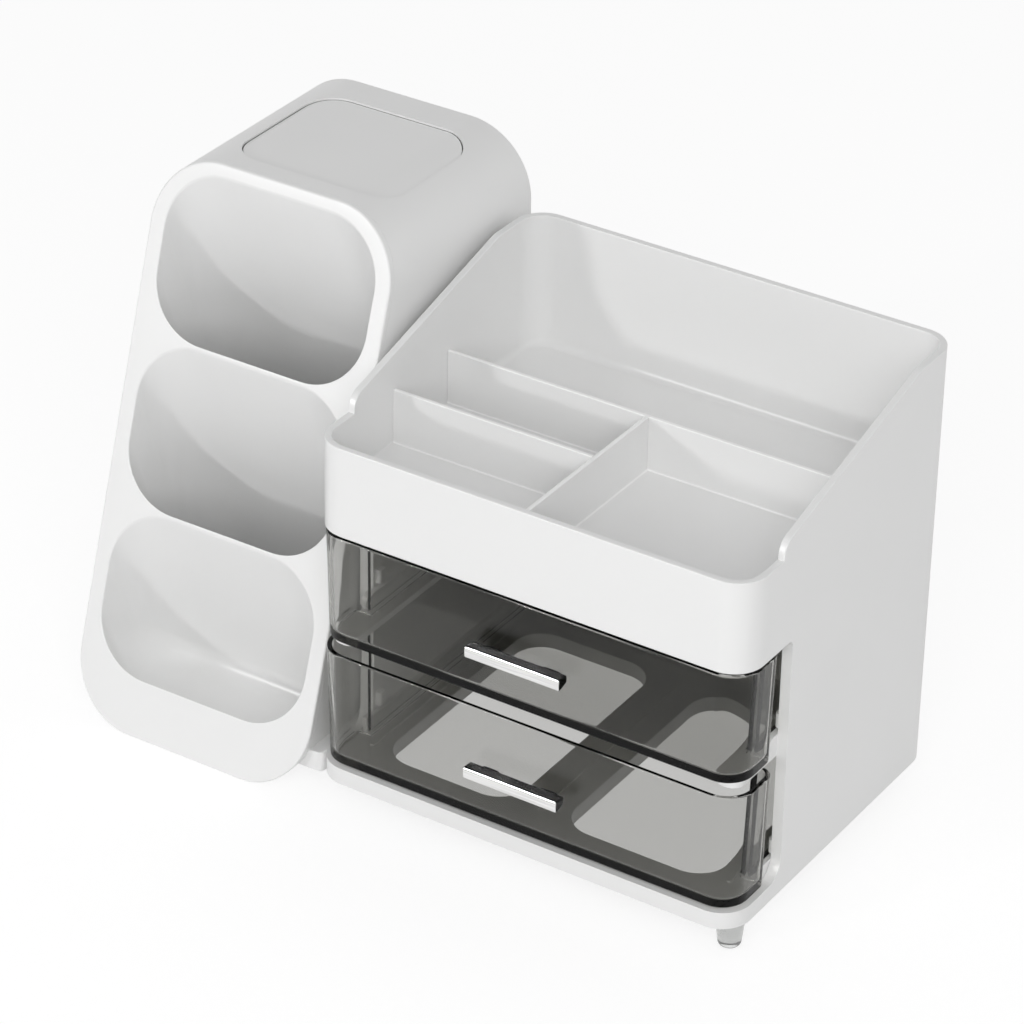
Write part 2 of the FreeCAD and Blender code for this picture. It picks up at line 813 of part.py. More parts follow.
def make_bridge():
    """Foot flange towards the case, with a ledge that the case's left side stands on."""
    start = tower_right - tower_corner / 2
    flange = box(start, 0, bridge_front_y, bridge_back_y, -bridge_ledge, bridge_top)
    ledge = box(start, bridge_ledge_reach, bridge_ledge_front_y, bridge_back_y, -bridge_ledge, 0)
    nose = [e for e in flange.Edges
            if e.BoundBox.YMax < bridge_front_y + near and e.BoundBox.ZLength > bridge_top]
    corners = [e for e in ledge.Edges
               if e.BoundBox.XMin > bridge_ledge_reach - near and e.BoundBox.ZLength > near]
    bridge = flange.makeFillet(bridge_ledge, nose).fuse(ledge.makeFillet(bridge_ledge, corners))
    return bridge.removeSplitter()


def make_jacket():
    """Sleeve with a closed back that covers the wells, and the bridge at its foot."""
    outside = tower_prism(0, tower_start_y, tower_back_y)
    back = [e for e in outside.Edges if e.BoundBox.YMin > tower_back_y - near]
    outside = outside.makeFillet(tower_back_round, back).common(behind_face(face_wall + face_seam))
    inside = tower_prism(tower_wall, tower_start_y, tower_back_y - tower_wall)
    jacket = outside.fuse(make_bridge()).cut(inside).cut(top_recess())
    for y in bridge_screw_ys:
        jacket = jacket.cut(bridge_screw_hole(y))
    for mat in make_mats():
        jacket = jacket.cut(mat)
    for centre in back_boss_places():
        jacket = jacket.cut(flush_screw_hole(centre, -Y, tower_screw_length))
    return jacket


# everything

def main():
    os.makedirs("parts", exist_ok=True)
    save("outer_case", [make_case()])
    for name, divider in make_dividers().items():
        save(name, [divider])
    save("base_plate", [make_base_plate()])
    under_pad = corner_block_under - corner_pad
    save("base_screws", [pan_screw(Vec(x, y, under_pad), Z, base_screw_length)
                         for x, y in case_screw_places()])
    runner = make_runner()
    save("left_runner", [runner])
    save("right_runner", [mirrored(runner)])
    screws = []
    for y in runner_screw_ys:
        screws += both_sides(flush_screw(runner_screw_start(y), -X, runner_screw_length))
    save("runner_screws", screws)
    save("drawer_stops", make_stops())
    save("lower_drawer", [make_drawer(lower_drawer_bottom, lower_drawer_top, base_top)])
    save("upper_drawer", [make_drawer(upper_drawer_bottom, upper_drawer_top, runner_top)])
    save("lower_handle", [make_handle(lower_drawer_bottom, lower_drawer_top)])
    save("upper_handle", [make_handle(upper_drawer_bottom, upper_drawer_top)])
    for name, (x, y) in foot_places().items():
        save(name, [make_foot(x, y)])
    save("tower_jacket", [make_jacket()])
    save("brush_block", [make_brush_block()])
    save("tower_mats", make_mats())
    save("tower_screws", [flush_screw(c, -Y, tower_screw_length) for c in back_boss_places()])
    save("bridge_screws", [pan_screw(bridge_screw_start(y), -X, bridge_screw_length)
                           for y in bridge_screw_ys])


main()
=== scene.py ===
from math import atan2, cos, pi, radians, sin, sqrt, tan

import bmesh
import bpy
from mathutils import Matrix, Vector


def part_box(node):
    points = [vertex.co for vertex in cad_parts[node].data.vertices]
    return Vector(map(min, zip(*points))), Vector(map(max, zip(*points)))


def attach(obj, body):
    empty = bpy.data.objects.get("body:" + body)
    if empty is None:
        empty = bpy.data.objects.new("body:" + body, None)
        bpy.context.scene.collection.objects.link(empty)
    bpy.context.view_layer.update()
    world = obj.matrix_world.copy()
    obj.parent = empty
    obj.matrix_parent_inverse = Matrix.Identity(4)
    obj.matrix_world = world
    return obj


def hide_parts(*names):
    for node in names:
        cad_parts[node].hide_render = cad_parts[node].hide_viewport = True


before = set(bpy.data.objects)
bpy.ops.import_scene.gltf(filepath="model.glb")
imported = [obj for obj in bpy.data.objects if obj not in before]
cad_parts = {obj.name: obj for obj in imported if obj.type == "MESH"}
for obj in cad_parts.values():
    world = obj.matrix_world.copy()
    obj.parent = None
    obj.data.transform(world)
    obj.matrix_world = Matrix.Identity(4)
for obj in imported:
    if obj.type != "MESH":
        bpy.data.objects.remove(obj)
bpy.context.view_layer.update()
print("frame loaded:", len(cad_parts), "nodes")

mm = 0.001
home = Vector(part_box("outer_case")[0])  # the case's front left foot; lengths are mm from it
caseHigh = (Vector(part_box("outer_case")[1]) - home) / mm
floorLevel = -home.z / mm  # height of the table, below the case


# finishes

class Value:
    # one output socket; sums and products of it add Math nodes to its own tree

    def __init__(self, graph, socket):
        self.graph = graph
        self.socket = socket

    def maths(self, operation, first, second):
        return self.graph.node("ShaderNodeMath", {"operation": operation}, {0: first, 1: second})

    def __or__(self, other):
        # 1 where either is 1
        return self.maths("MAXIMUM", self, other)

    def __add__(self, other):
        return self.maths("ADD", self, other)

    def __radd__(self, other):
        return self.maths("ADD", other, self)

    def __sub__(self, other):
        return self.maths("SUBTRACT", self, other)

    def __rsub__(self, other):
        return self.maths("SUBTRACT", other, self)

    def __mul__(self, other):
        return self.maths("MULTIPLY", self, other)

    def __rmul__(self, other):
        return self.maths("MULTIPLY", other, self)


class Graph:
    # a node tree while its nodes are being joined

    def __init__(self, tree):
        self.tree = tree
        tree.nodes.clear()

    def node(self, kind, settings=None, values=None, out=0):
        # values are numbers, Values to link, or lists of Values for a socket that takes several
        made = self.tree.nodes.new(kind)
        for name, setting in (settings or {}).items():
            if name == "stops":
                for stop, (place, grey) in zip(made.color_ramp.elements, setting):
                    stop.position, stop.color = place, (grey, grey, grey, 1)
            else:
                setattr(made, name, setting)
        for name, value in (values or {}).items():
            for one in value if isinstance(value, list) else [value]:
                if isinstance(one, Value):
                    self.tree.links.new(one.socket, made.inputs[name])
                else:
                    made.inputs[name].default_value = one
        return Value(self, made.outputs[out]) if made.outputs else None


class Finish(Graph):
    # the graph of a material or the world

    def __init__(self, owner):
        owner.use_nodes = True
        self.owner = owner
        super().__init__(owner.node_tree)

    def noise(self, scale, detail=2.0, stretch=(1, 1, 1)):
        where = self.node("ShaderNodeTexCoord", out="Object")
        where = self.node("ShaderNodeMapping", values={"Vector": where, "Scale": stretch})
        return self.node("ShaderNodeTexNoise",
                         values={"Vector": where, "Scale": scale, "Detail": detail})

    def ramp(self, value, low, high):
        return self.node("ShaderNodeValToRGB", {"stops": ((low, 0.0), (high, 1.0))}, {"Fac": value})

    def blend(self, mask, first, second):
        first, second = ((*c, 1) if isinstance(c, tuple) else c for c in (first, second))
        return self.node("ShaderNodeMix", {"data_type": "RGBA"},
                         {0: mask, 6: first, 7: second}, out=2)

    def bump(self, height, depth, under=None):
        values = {"Height": height, "Distance": depth * mm, "Strength": 1.0}
        if under:
            values["Normal"] = under
        return self.node("ShaderNodeBump", values=values)

    def along(self, coordinates, axis):
        where = self.node("ShaderNodeTexCoord", out=coordinates)
        return self.node("ShaderNodeSeparateXYZ", values={"Vector": where}, out=axis)

    def ray(self, kind):
        return self.node("ShaderNodeLightPath", out="Is %s Ray" % kind)

    def principled(self, values):
        return self.node("ShaderNodeBsdfPrincipled", values=values)

    def dye(self, colour, density):
        return self.node("ShaderNodeVolumeAbsorption",
                         values={"Color": (*colour, 1), "Density": density})

    def painted(self, surface, volume=None):
        # joins the shaders to the output and gives back the material
        values = {"Surface": surface}
        if volume:
            values["Volume"] = volume
        self.node("ShaderNodeOutputMaterial", values=values)
        return self.owner


def newFinish(name):
    return Finish(bpy.data.materials.new(name))


white = {
    "colour": (0.888, 0.888, 0.884),
    "shade": (0.868, 0.869, 0.865),
    "crest": (0.99, 0.99, 0.986),  # painted highlight: lighter colour on faces that point up
    "roughness": 0.30,
    "smudgeRough": 0.07,
    "skinRough": 0.05,
    "skinDepth": 0.003,
    "waveDepth": 0.02,
    "bending": 1.5,
}


def makeWhitePlastic(name, paintedTopHighlight=False):
    # satin moulding: slow waves and a fine skin in the gloss, faint clouding in the white, and a
    # painted highlight on faces that point up when asked for
    f = newFinish(name)
    smudges = f.ramp(f.noise(38, 4), 0.45, 0.72)
    skin = f.noise(1500, 2)
    colour = f.blend(f.noise(16, 3), white["shade"], white["colour"])
    if paintedTopHighlight:
        # painted highlight: faces that point up are blended towards a lighter white
        colour = f.blend(f.ramp(f.along("Normal", "Z"), 0.3, 0.7), colour, white["crest"])
    waves = f.bump(f.noise(55, 1), white["waveDepth"])
    return f.painted(f.principled({
        "Base Color": colour, "Normal": f.bump(skin, white["skinDepth"], waves),
        "Roughness": (white["roughness"] + white["smudgeRough"] * smudges
                      + white["skinRough"] * skin),
        "IOR": white["bending"]}))


smoked = {
    "dye": (0.05, 0.045, 0.0),  # what the dye lets through
    "density": 107.0,  # per metre
    "passing": (0.99, 0.99, 0.985), # what each face lets through to a lamp
    "bending": 1.25,
    "roughness": 0.015,
    "scuffs": 0.03,
    "waveDepth": 0.006,
}


def makeSmokedPlastic():
    # clear grey plastic that darkens with depth, polished, with faint scuffs
    f = newFinish("smokedPlastic")
    scuffs = f.ramp(f.noise(45, 6, (1, 1, 4)), 0.56, 0.8)
    glass = f.principled({
        "Base Color": (1, 1, 1, 1), "Roughness": smoked["roughness"] + smoked["scuffs"] * scuffs,
        "Normal": f.bump(f.noise(30, 1), smoked["waveDepth"]), "IOR": smoked["bending"],
        "Transmission Weight": 1.0})
    clear = f.node("ShaderNodeBsdfTransparent", values={"Color": (*smoked["passing"], 1)})
    surface = f.node("ShaderNodeMixShader", values={
        0: f.ray("Shadow") | f.ray("Diffuse"), 1: glass, 2: clear})
    return f.painted(surface, f.dye(smoked["dye"], smoked["density"]))


metal = {
    "colour": (0.86, 0.86, 0.85),
    "shade": (0.72, 0.72, 0.715),
    "paintedShade": (0.045, 0.045, 0.045),  # painted shade and painted dark reflection on the top, ends and back
    "roughness": 0.12,
    "lineRough": 0.1,
    "lineDepth": 0.004,
}


def makeHandleMetal():
    # bright metal with fine lines along the bar, and painted shade with a painted dark reflection
    # on the sides that don't face forward
    f = newFinish("handleMetal")
    lines = f.noise(40, 3, (1, 55, 55))
    # 1 on faces that point forward; the rest get the painted shade and painted dark reflection
    frontOutOfShade = f.ramp(-1 * f.along("Normal", "Y"), 0.6, 0.85)
    bright = f.blend(f.ramp(lines, 0.35, 0.6), metal["shade"], metal["colour"])
    return f.painted(f.principled({
        "Base Color": f.blend(frontOutOfShade, metal["paintedShade"], bright), "Metallic": 1.0,
        "Roughness": metal["roughness"] + metal["lineRough"] * lines,
        "Normal": f.bump(lines, metal["lineDepth"])}))


gel = {
    "colour": (0.80, 0.81, 0.80),
    "dusty": (0.7, 0.7, 0.69),
    "dye": (0.3, 0.3, 0.3),
    "density": 45.0,
    "roughness": 0.16,
    "dustRough": 0.2,
    "clearness": 0.85,
    "bending": 1.43,
    "grain": 0.02,
}


def makeClearRubber():
    # translucent grey gel of the feet, slightly hazy, with dust on its skin
    f = newFinish("clearRubber")
    dust = f.ramp(f.noise(420, 4), 0.5, 0.75)
    surface = f.principled({
        "Base Color": f.blend(dust, gel["colour"], gel["dusty"]), "IOR": gel["bending"],
        "Roughness": gel["roughness"] + gel["dustRough"] * dust,
        "Transmission Weight": gel["clearness"], "Normal": f.bump(f.noise(300, 2), gel["grain"])})
    return f.painted(surface, f.dye(gel["dye"], gel["density"]))


mat = {
    "colour": (0.055, 0.055, 0.055),
    "worn": (0.12, 0.118, 0.115),
    "roughness": 0.92,
    "wornGloss": 0.15,
    "grain": 0.03,
}


def makeMatRubber():
    # matt rubber, paler and smoother in worn patches
    f = newFinish("matRubber")
    worn = f.ramp(f.noise(160, 5), 0.42, 0.7)
    return f.painted(f.principled({
        "Base Color": f.blend(worn, mat["colour"], mat["worn"]),
        "Roughness": mat["roughness"] - mat["wornGloss"] * worn,
        "Normal": f.bump(f.noise(2600, 3), mat["grain"])}))


steel = {
    "colour": (0.66, 0.66, 0.67),
    "shade": (0.50, 0.50, 0.50),
    "roughness": 0.26,
    "spotRough": 0.2,
    "grain": 0.006,
}


def makeScrewSteel():
    # zinc plating with a fine uneven sheen
    f = newFinish("screwSteel")
    sheen = f.noise(900, 4)
    spots = f.ramp(f.noise(2600, 2), 0.6, 0.75)
    return f.painted(f.principled({
        "Base Color": f.blend(sheen, steel["shade"], steel["colour"]), "Metallic": 1.0,
        "Roughness": steel["roughness"] + steel["spotRough"] * spots,
        "Normal": f.bump(sheen, steel["grain"])}))


whitePlastic = makeWhitePlastic("whitePlastic")
topHighlightPlastic = makeWhitePlastic("topHighlightPlastic", paintedTopHighlight=True)
smokedPlastic = makeSmokedPlastic()
handleMetal = makeHandleMetal()
clearRubber = makeClearRubber()
matRubber = makeMatRubber()
screwSteel = makeScrewSteel()
print("finishes made:", len(bpy.data.materials))


# meshes, in millimetres from the case's corner until they are finished

finishing = {
    "weld": 1e-4,  # points closer than this become one
    "sharp": 35.0,  # degrees between faces that stay a crease
    "bevelFrom": 50.0,  # degrees between faces that get a rounded edge
    "bevelSteps": 3,
    "flatness": 80,  # how much the larger faces lead the shading
}


def placed(name, data):
    thing = bpy.data.objects.new(name, data)
    bpy.context.scene.collection.objects.link(thing)
    return thing


def meshOf(bm, name, moved=None):
    bmesh.ops.remove_doubles(bm, verts=bm.verts, dist=finishing["weld"])
    bmesh.ops.recalc_face_normals(bm, faces=bm.faces)
    if moved:
        bmesh.ops.transform(bm, matrix=moved, verts=bm.verts)
    mesh = bpy.data.meshes.new(name)
    bm.to_mesh(mesh)
    bm.free()
    return mesh


def finishPiece(name, bm, body, stands, material, edge=0.0):
    # a finished piece that rides on its body, in place of the CAD nodes that it stands for
    mesh = meshOf(bm, name, Matrix.Translation(home) @ Matrix.Scale(mm, 4))
    mesh.polygons.foreach_set("use_smooth", [True] * len(mesh.polygons))
    mesh.set_sharp_from_angle(angle=radians(finishing["sharp"]))
    mesh.materials.append(material)
    piece = placed(name, mesh)
    if edge:
        rounder = piece.modifiers.new("edges", "BEVEL")
        rounder.width = edge * mm
        rounder.segments = finishing["bevelSteps"]
        rounder.limit_method = "ANGLE"
        rounder.angle_limit = radians(finishing["bevelFrom"])
    weigher = piece.modifiers.new("shading", "WEIGHTED_NORMAL")
    weigher.keep_sharp = True
    weigher.weight = finishing["flatness"]
    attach(piece, body)
    if stands:
        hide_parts(*stands)


def settled(thing):
    # what an object's modifiers make of it, as a new bmesh; the object itself goes
    graph = bpy.context.evaluated_depsgraph_get()
    mesh = bpy.data.meshes.new_from_object(thing.evaluated_get(graph))
    thing.modifiers.clear()
    bpy.data.objects.remove(thing)
    bm = bmesh.new()
    bm.from_mesh(mesh)
    bpy.data.meshes.remove(mesh)
    return bm


def carved(solid, cutters):
    # the solid with the cutters' shapes taken out
    target = placed("carving", meshOf(solid, "carving"))
    tools = [placed("cutter", meshOf(cutter, "cutter")) for cutter in cutters]
    for tool in tools:
        cut = target.modifiers.new("cut", "BOOLEAN")
        cut.operation = "DIFFERENCE"
        cut.solver = "EXACT"
        cut.object = tool
    bm = settled(target)
    for tool in tools:
        bpy.data.objects.remove(tool)
    bmesh.ops.holes_fill(bm, edges=[e for e in bm.edges if e.is_boundary], sides=4)
    return bm


def arcSteps(steps):
    return [pi / 2 * i / steps for i in range(steps + 1)]


def quarter(radius, steps=4):
    # (in from the side, down from the top) of points round an edge, from the side to the top
    return [(radius * (1 - cos(a)), radius * (1 - sin(a))) for a in arcSteps(steps)]


def level(a, b, height):
    # a point of a loop that lies flat
    return a, b, height


def sideways(a, b, x):
    # a point of a loop in y and z, at one x
    return x, a, b


def frontal(a, b, y):
    # a point of a loop in x and z, at one y
    return a, y, b


def roundedPolygon(corners, steps):
    # (a, b, outward a, outward b) round a convex outline of (a, b, radius) corners, anticlockwise
    loop = []
    for i, (a, b, radius) in enumerate(corners):
        here = Vector((a, b))
        back = (Vector(corners[i - 1][:2]) - here).normalized()
        ahead = (Vector(corners[(i + 1) % len(corners)][:2]) - here).normalized()
        half = back.angle(ahead) / 2
        centre = here + (back + ahead).normalized() * radius / sin(half)
        turn = pi - 2 * half
        angle = atan2(back.x, -back.y)
        for k in range(steps + 1):
            c, s = cos(angle + turn * k / steps), sin(angle + turn * k / steps)
            loop.append((centre.x + radius * c, centre.y + radius * s, c, s))
    return loop


def roundedLoop(x0, x1, y0, y1, radii, steps):
    # (x, y, outward x, outward y), anticlockwise from the left end of the front left corner
    corners = ((x0, y0, 1, 1, pi), (x1, y0, -1, 1, 1.5 * pi),
               (x1, y1, -1, -1, 0.0), (x0, y1, 1, -1, 0.5 * pi))
    loop = []
    for (x, y, inX, inY, start), radius in zip(corners, radii):
        for angle in arcSteps(steps):
            c, s = cos(start + angle), sin(start + angle)
            loop.append((x + inX * radius + radius * c, y + inY * radius + radius * s, c, s))
    return loop


def discLoop(x, y, radius, steps=32):
    turns = [2 * pi * i / steps for i in range(steps)]
    return [(x + radius * cos(t), y + radius * sin(t), cos(t), sin(t))
            for t in turns]


def ring(bm, points):
    return [bm.verts.new(p) for p in points]


def flatRing(bm, loop, inset, height, place=level):
    return ring(bm, [place(a - na * inset, b - nb * inset, height) for a, b, na, nb in loop])


def skin(bm, rings):
    # quads between rings of the same length
    for low, high in zip(rings, rings[1:]):
        for i in range(len(low)):
            j = (i + 1) % len(low)
            bm.faces.new((low[i], low[j], high[j], high[i]))


def shut(bm, rings):
    # a skin with a flat face over each end
    skin(bm, rings)
    bm.faces.new(rings[0])
    bm.faces.new(rings[-1])


def arched(bm, loop, steps):
    # fills a rounded loop that is bent over sideways, with strips from its front to its back
    n = steps + 1
    front, back = loop[:2 * n], loop[3 * n:][::-1] + loop[2 * n:3 * n][::-1]
    for i in range(2 * n - 1):
        bm.faces.new((front[i], front[i + 1], back[i + 1], back[i]))


def fillFlat(bm, rings):
    # flat face inside the first ring, open at the others
    edges = []
    for verts in rings:
        for i in range(len(verts)):
            pair = (verts[i], verts[(i + 1) % len(verts)])
            edges.append(bm.edges.get(pair) or bm.edges.new(pair))
    bmesh.ops.triangle_fill(bm, use_beauty=True, use_dissolve=False, edges=edges)


def upright(bm, loop, low, high, topRound, footRound=0.0, place=level):
    # solid column on a loop, with rounded edges at its top and foot
    under = quarter(footRound) if footRound else [(0, 0)]
    rings = [flatRing(bm, loop, inset, low + rise, place) for rise, inset in under]
    rings += [flatRing(bm, loop, inset, high - drop, place) for inset, drop in quarter(topRound)]
    shut(bm, rings)


def block(bm, x0, x1, y0, y1, z0, z1, corner, topRound, footRound=0.0):
    upright(bm, roundedLoop(x0, x1, y0, y1, (corner,) * 4, 3), z0, z1, topRound, footRound)


def turned(bm, profile, x, y, steps=40):
    # solid of revolution from (radius, height) points, foot first, with a flat disc at each end
    turns = [2 * pi * i / steps for i in range(steps)]
    shut(bm, [ring(bm, [(x + radius * cos(t), y + radius * sin(t), z) for t in turns])
              for radius, z in profile])


# case

case = {
    "width": caseHigh.x,
    "depth": caseHigh.y,
    "height": caseHigh.z,
    "corner": 13.0,
    "cheek": 4.3,
    "backWall": 3.0,
    "panelWall": 2.8,
    "trayWall": 3.0,
    "frontRim": 151.3,
    "notchY": 24.5,
    "riseRound": 7.0,
    "slopeAtNotch": 157.9,
    "crestY": 123.8,  # where the sloping rim would turn level, were it not rounded
    "crestRound": 15.0,
    "riseSteps": 8,
    "crestSteps": 5,
    "rimStart": 4.0,  # behind the front corners' rounds
    "rimRound": 0.45,
    "panelBottom": 113.0,
    "lip": 7.3,
    "setback": 34.3,
    "doorTopRound": 3.0,
    "doorFootRound": 8.0,
    "trayFloor": 127.0,
    "bayCeiling": 124.6,
    "cove": 3.0,
    "smallCove": 0.7,
    "coveMeet": (-1.6, 0.1),  # round the rear divider's back, where the cove changes
    "edge": 0.4,
    "steps": 12,
    "bayPast": 5.0,  # how far each cutter goes past the case
    "doorPast": 20.0,
    "square": 0.01,  # radius of a corner that stays square
}


def rimSlope():
    c = case
    return atan2(c["height"] - c["slopeAtNotch"], c["crestY"] - c["notchY"])


def sideRim():
    # (y, z, inward y, inward z) along the top edge of one side wall, front to back
    c = case
    slope = rimSlope()
    up = pi / 2
    rise, crest = c["riseRound"], c["crestRound"]
    low = c["slopeAtNotch"] - rise * tan((up - slope) / 2)
    rim = [(c["corner"] + c["rimStart"], c["frontRim"], 0, -1), (c["notchY"], c["frontRim"], 1, -1)]
    for i in range(c["riseSteps"] + 1):
        angle = pi - (up - slope) * i / c["riseSteps"]
        rim.append((c["notchY"] + rise + rise * cos(angle), low + rise * sin(angle),
                    -cos(angle), -sin(angle)))
    crestY = c["crestY"] + crest * tan(slope / 2)
    for i in range(c["crestSteps"] + 1):
        angle = up + slope - slope * i / c["crestSteps"]
        rim.append((crestY + crest * cos(angle), c["height"] - crest + crest * sin(angle),
                    -cos(angle), -sin(angle)))
    return rim


def rimSamples():
    # one sample per point round the case: place, outward normal, rim height, inward shift, cove
    c = case
    loop = roundedLoop(0, c["width"], 0, c["depth"], (c["corner"],) * 4, c["steps"])
    n = c["steps"] + 1
    side = sideRim()
    meet = divider["rearY"] + divider["wall"] / 2

    tilt = rimSlope()

    def sample(x, y, nx, ny, z, shiftY, shiftZ):
        cove = c["cove"] if y > meet else c["smallCove"]
        return {"x": x, "y": y, "nx": nx, "ny": ny, "z": z, "sy": shiftY, "sz": shiftZ,
                "cove": cove}

    def sideSamples(x, nx):
        rim = [sample(x, y, nx, 0, z, sy, sz) for y, z, sy, sz in side]
        rim += [sample(x, y, nx, 0, c["slopeAtNotch"] + (y - c["notchY"]) * tan(tilt),
                       sin(tilt), -cos(tilt)) for y in (meet + a for a in c["coveMeet"])]
        return sorted(rim, key=lambda s: (s["y"], s["z"]), reverse=nx < 0)

    samples = [sample(x, y, nx, ny, c["frontRim"], 0, -1) for x, y, nx, ny in loop[:2 * n]]
    samples += sideSamples(c["width"], 1)
    samples += [sample(x, y, nx, ny, c["height"], 0, -1) for x, y, nx, ny in loop[2 * n:]]
    return samples + sideSamples(0, -1)


def wallAt(s):
    # thickness of the wall, which changes round the corners
    c = case
    other = c["panelWall"] if s["ny"] < 0 else c["backWall"]
    return c["trayWall"] + (other - c["trayWall"]) * abs(s["ny"])


def rimRing(bm, samples, inset, deep, inner=False):
    # ring of the rim's section: inset from the outer or inner side, deep below the top
    points = []
    for s in samples:
        a = wallAt(s) - inset if inner else inset
        points.append((s["x"] - s["nx"] * a, s["y"] - s["ny"] * a + s["sy"] * deep,
                       s["z"] + s["sz"] * deep))
    return ring(bm, points)


def caseSolid():
    c = case
    samples = rimSamples()
    r = c["rimRound"]
    bm = bmesh.new()
    rings = [ring(bm, [(s["x"], s["y"] + s["sy"] * r, 0) for s in samples])]
    rings += [rimRing(bm, samples, inset, deep) for inset, deep in quarter(r)]
    rings += [rimRing(bm, samples, inset, deep, True) for inset, deep in reversed(quarter(r))]
    for out, rise in quarter(1, 6):
        points = []
        for s in samples:
            inset = wallAt(s) + s["cove"] * out
            points.append((s["x"] - s["nx"] * inset, s["y"] - s["ny"] * inset + s["sy"] * r,
                           c["trayFloor"] + s["cove"] * rise))
        rings.append(ring(bm, points))
    shut(bm, rings)
    return bm


def bayCutter():
    c = case
    bm = bmesh.new()
    loop = roundedLoop(c["cheek"], c["width"] - c["cheek"], c["panelWall"],
                       c["depth"] - c["backWall"], (c["corner"] - c["cheek"],) * 4, c["steps"])
    shut(bm, [flatRing(bm, loop, 0, z) for z in (-c["bayPast"], c["bayCeiling"])])
    return bm


def doorCutter():
    c = case
    bm = bmesh.new()
    loop = roundedLoop(-c["doorPast"], c["setback"], c["lip"], c["panelBottom"],
                       (c["square"], c["doorFootRound"], c["doorTopRound"], c["square"]), 6)
    shut(bm, [flatRing(bm, loop, 0, x, sideways)
              for x in (-c["doorPast"], c["width"] + c["doorPast"])])
    return bm


def makeCase():
    bm = carved(caseSolid(), [bayCutter(), doorCutter()])
    finishPiece("caseShell", bm, "organiser", ["outer_case"], whitePlastic,
                edge=case["edge"])


divider = {
    "wall": 1.8,
    "top": 150.0,
    "round": 0.45,
    "foot": 0.7,
    "rearY": 88.5,
    "middleY": 51.0,
    "crossX": 93.5,
    "gap": 0.1,
}


def dividerSection(middle):
    # crowned section of a divider on the tray's floor, and its flared foot
    d, floor = divider, case["trayFloor"]
    edge = middle - d["wall"] / 2
    side = [(edge - out, floor + rise) for rise, out in quarter(d["foot"])]
    side += [(edge + inset, d["top"] - drop) for inset, drop in quarter(d["round"])]
    return side + [(2 * middle - a, b) for a, b in reversed(side)]


def makeDividers():
    c, d = case, divider
    left, right = c["trayWall"] + d["gap"], c["width"] - c["trayWall"] - d["gap"]
    front = c["panelWall"] + d["gap"]
    half = d["wall"] / 2
    runs = {
        "rear_divider": (sideways, d["rearY"], left, right),
        "cross_divider": (frontal, d["crossX"], front, d["rearY"] - half - d["gap"]),
        "middle_divider": (sideways, d["middleY"], left, d["crossX"] - half - d["gap"]),
    }
    for node, (place, middle, start, end) in runs.items():
        bm = bmesh.new()
        section = dividerSection(middle)
        shut(bm, [ring(bm, [place(a, b, h) for a, b in section]) for h in (start, end)])
        finishPiece(node.split("_")[0] + "Divider", bm, "organiser", [node],
                    topHighlightPlastic)


makeCase()
makeDividers()
print("case made")


# feet

foot = {
    "places": {"front_foot": (182.8, 10.8), "rear_foot": (167.5, 139.5)},
    "height": 12.5,
    "radius": 5.8,
    "waist": 4.4,
    "tipRound": 2.4,
    "tipFlat": 0.6,
    "tipSteps": 8,
    "rimRound": 0.4,
    "gap": 0.05,
}


def footProfile():
    # (radius, height) from the middle of the domed tip up to the collar under the case
    f = foot
    turn = pi / 2 - atan2(f["radius"] - f["waist"], f["height"])
    tip = f["tipRound"]
    centre = f["waist"] - tip * tan(turn / 2)
    profile = [(f["tipFlat"], -f["height"])]
    for i in range(f["tipSteps"] + 1):
        angle = turn * i / f["tipSteps"]
        profile.append((centre + tip * sin(angle), -f["height"] + tip * (1 - cos(angle))))
    return profile + [(f["radius"] - inset - f["gap"], -drop)
                      for inset, drop in quarter(f["rimRound"])]


def makeFeet():
    for node, (x, y) in foot["places"].items():
        bm = bmesh.new()
        turned(bm, footProfile(), x, y)
        finishPiece(node.split("_")[0] + "Foot", bm, "organiser", [node],
                    clearRubber)


# base plate

base = {
    "top": 6.6,
    "skin": 1.8,
    "gap": 0.15,
    "windows": ((20.3, 80.2), (103.0, 169.7)),
    "windowY": (17.2, 126.8),
    "windowCorner": 13.0,
    "edge": 0.5,
    "glides": (13.0, 90.6, 175.0),
    "glideWide": 2.0,
    "glideHigh": 0.7,
    "glideY": (20.0, 126.0),
    "glideCorner": 0.9,
    "glideRound": 0.3,
    "guideWide": 2.25,
    "guideHigh": 7.0,
    "guideY": (28.1, 130.0),
    "guideCorner": 0.3,
    "guideRound": 0.4,
    "pad": 16.8,
    "padLow": 1.5,
    "padRound": 2.0,
    "padEdge": 0.3,
    "sunk": 0.2,  # how far the glides and guides start inside the plate
    "skirtSunk": 0.1,
    "padSunk": 0.3,
    "buriedEdge": 0.1,
    "apart": 0.02,  # keeps two walls from lying in one plane
}


def baseLoop(inset):
    c = case
    side = c["cheek"] + base["gap"] + inset
    return roundedLoop(side, c["width"] - side, c["panelWall"] + base["gap"] + inset,
                       c["depth"] - c["backWall"] - base["gap"] - inset,
                       (c["corner"] - c["cheek"] - base["gap"] - inset,) * 4, c["steps"])


def windowLoop(span, grow):
    return roundedLoop(span[0] - grow, span[1] + grow, base["windowY"][0] - grow,
                       base["windowY"][1] + grow, (base["windowCorner"] + grow,) * 4, case["steps"])


def edgeRings(bm, loop, side):
    # wall of the plate's outside (side 1) or of a hole in it (side -1), rounded at the top
    b = base
    rings = [flatRing(bm, loop, 0, b["top"] - b["skin"])]
    rings += [flatRing(bm, loop, side * inset, b["top"] - drop)
              for inset, drop in quarter(b["edge"])]
    skin(bm, rings)
    return rings[0], rings[-1]


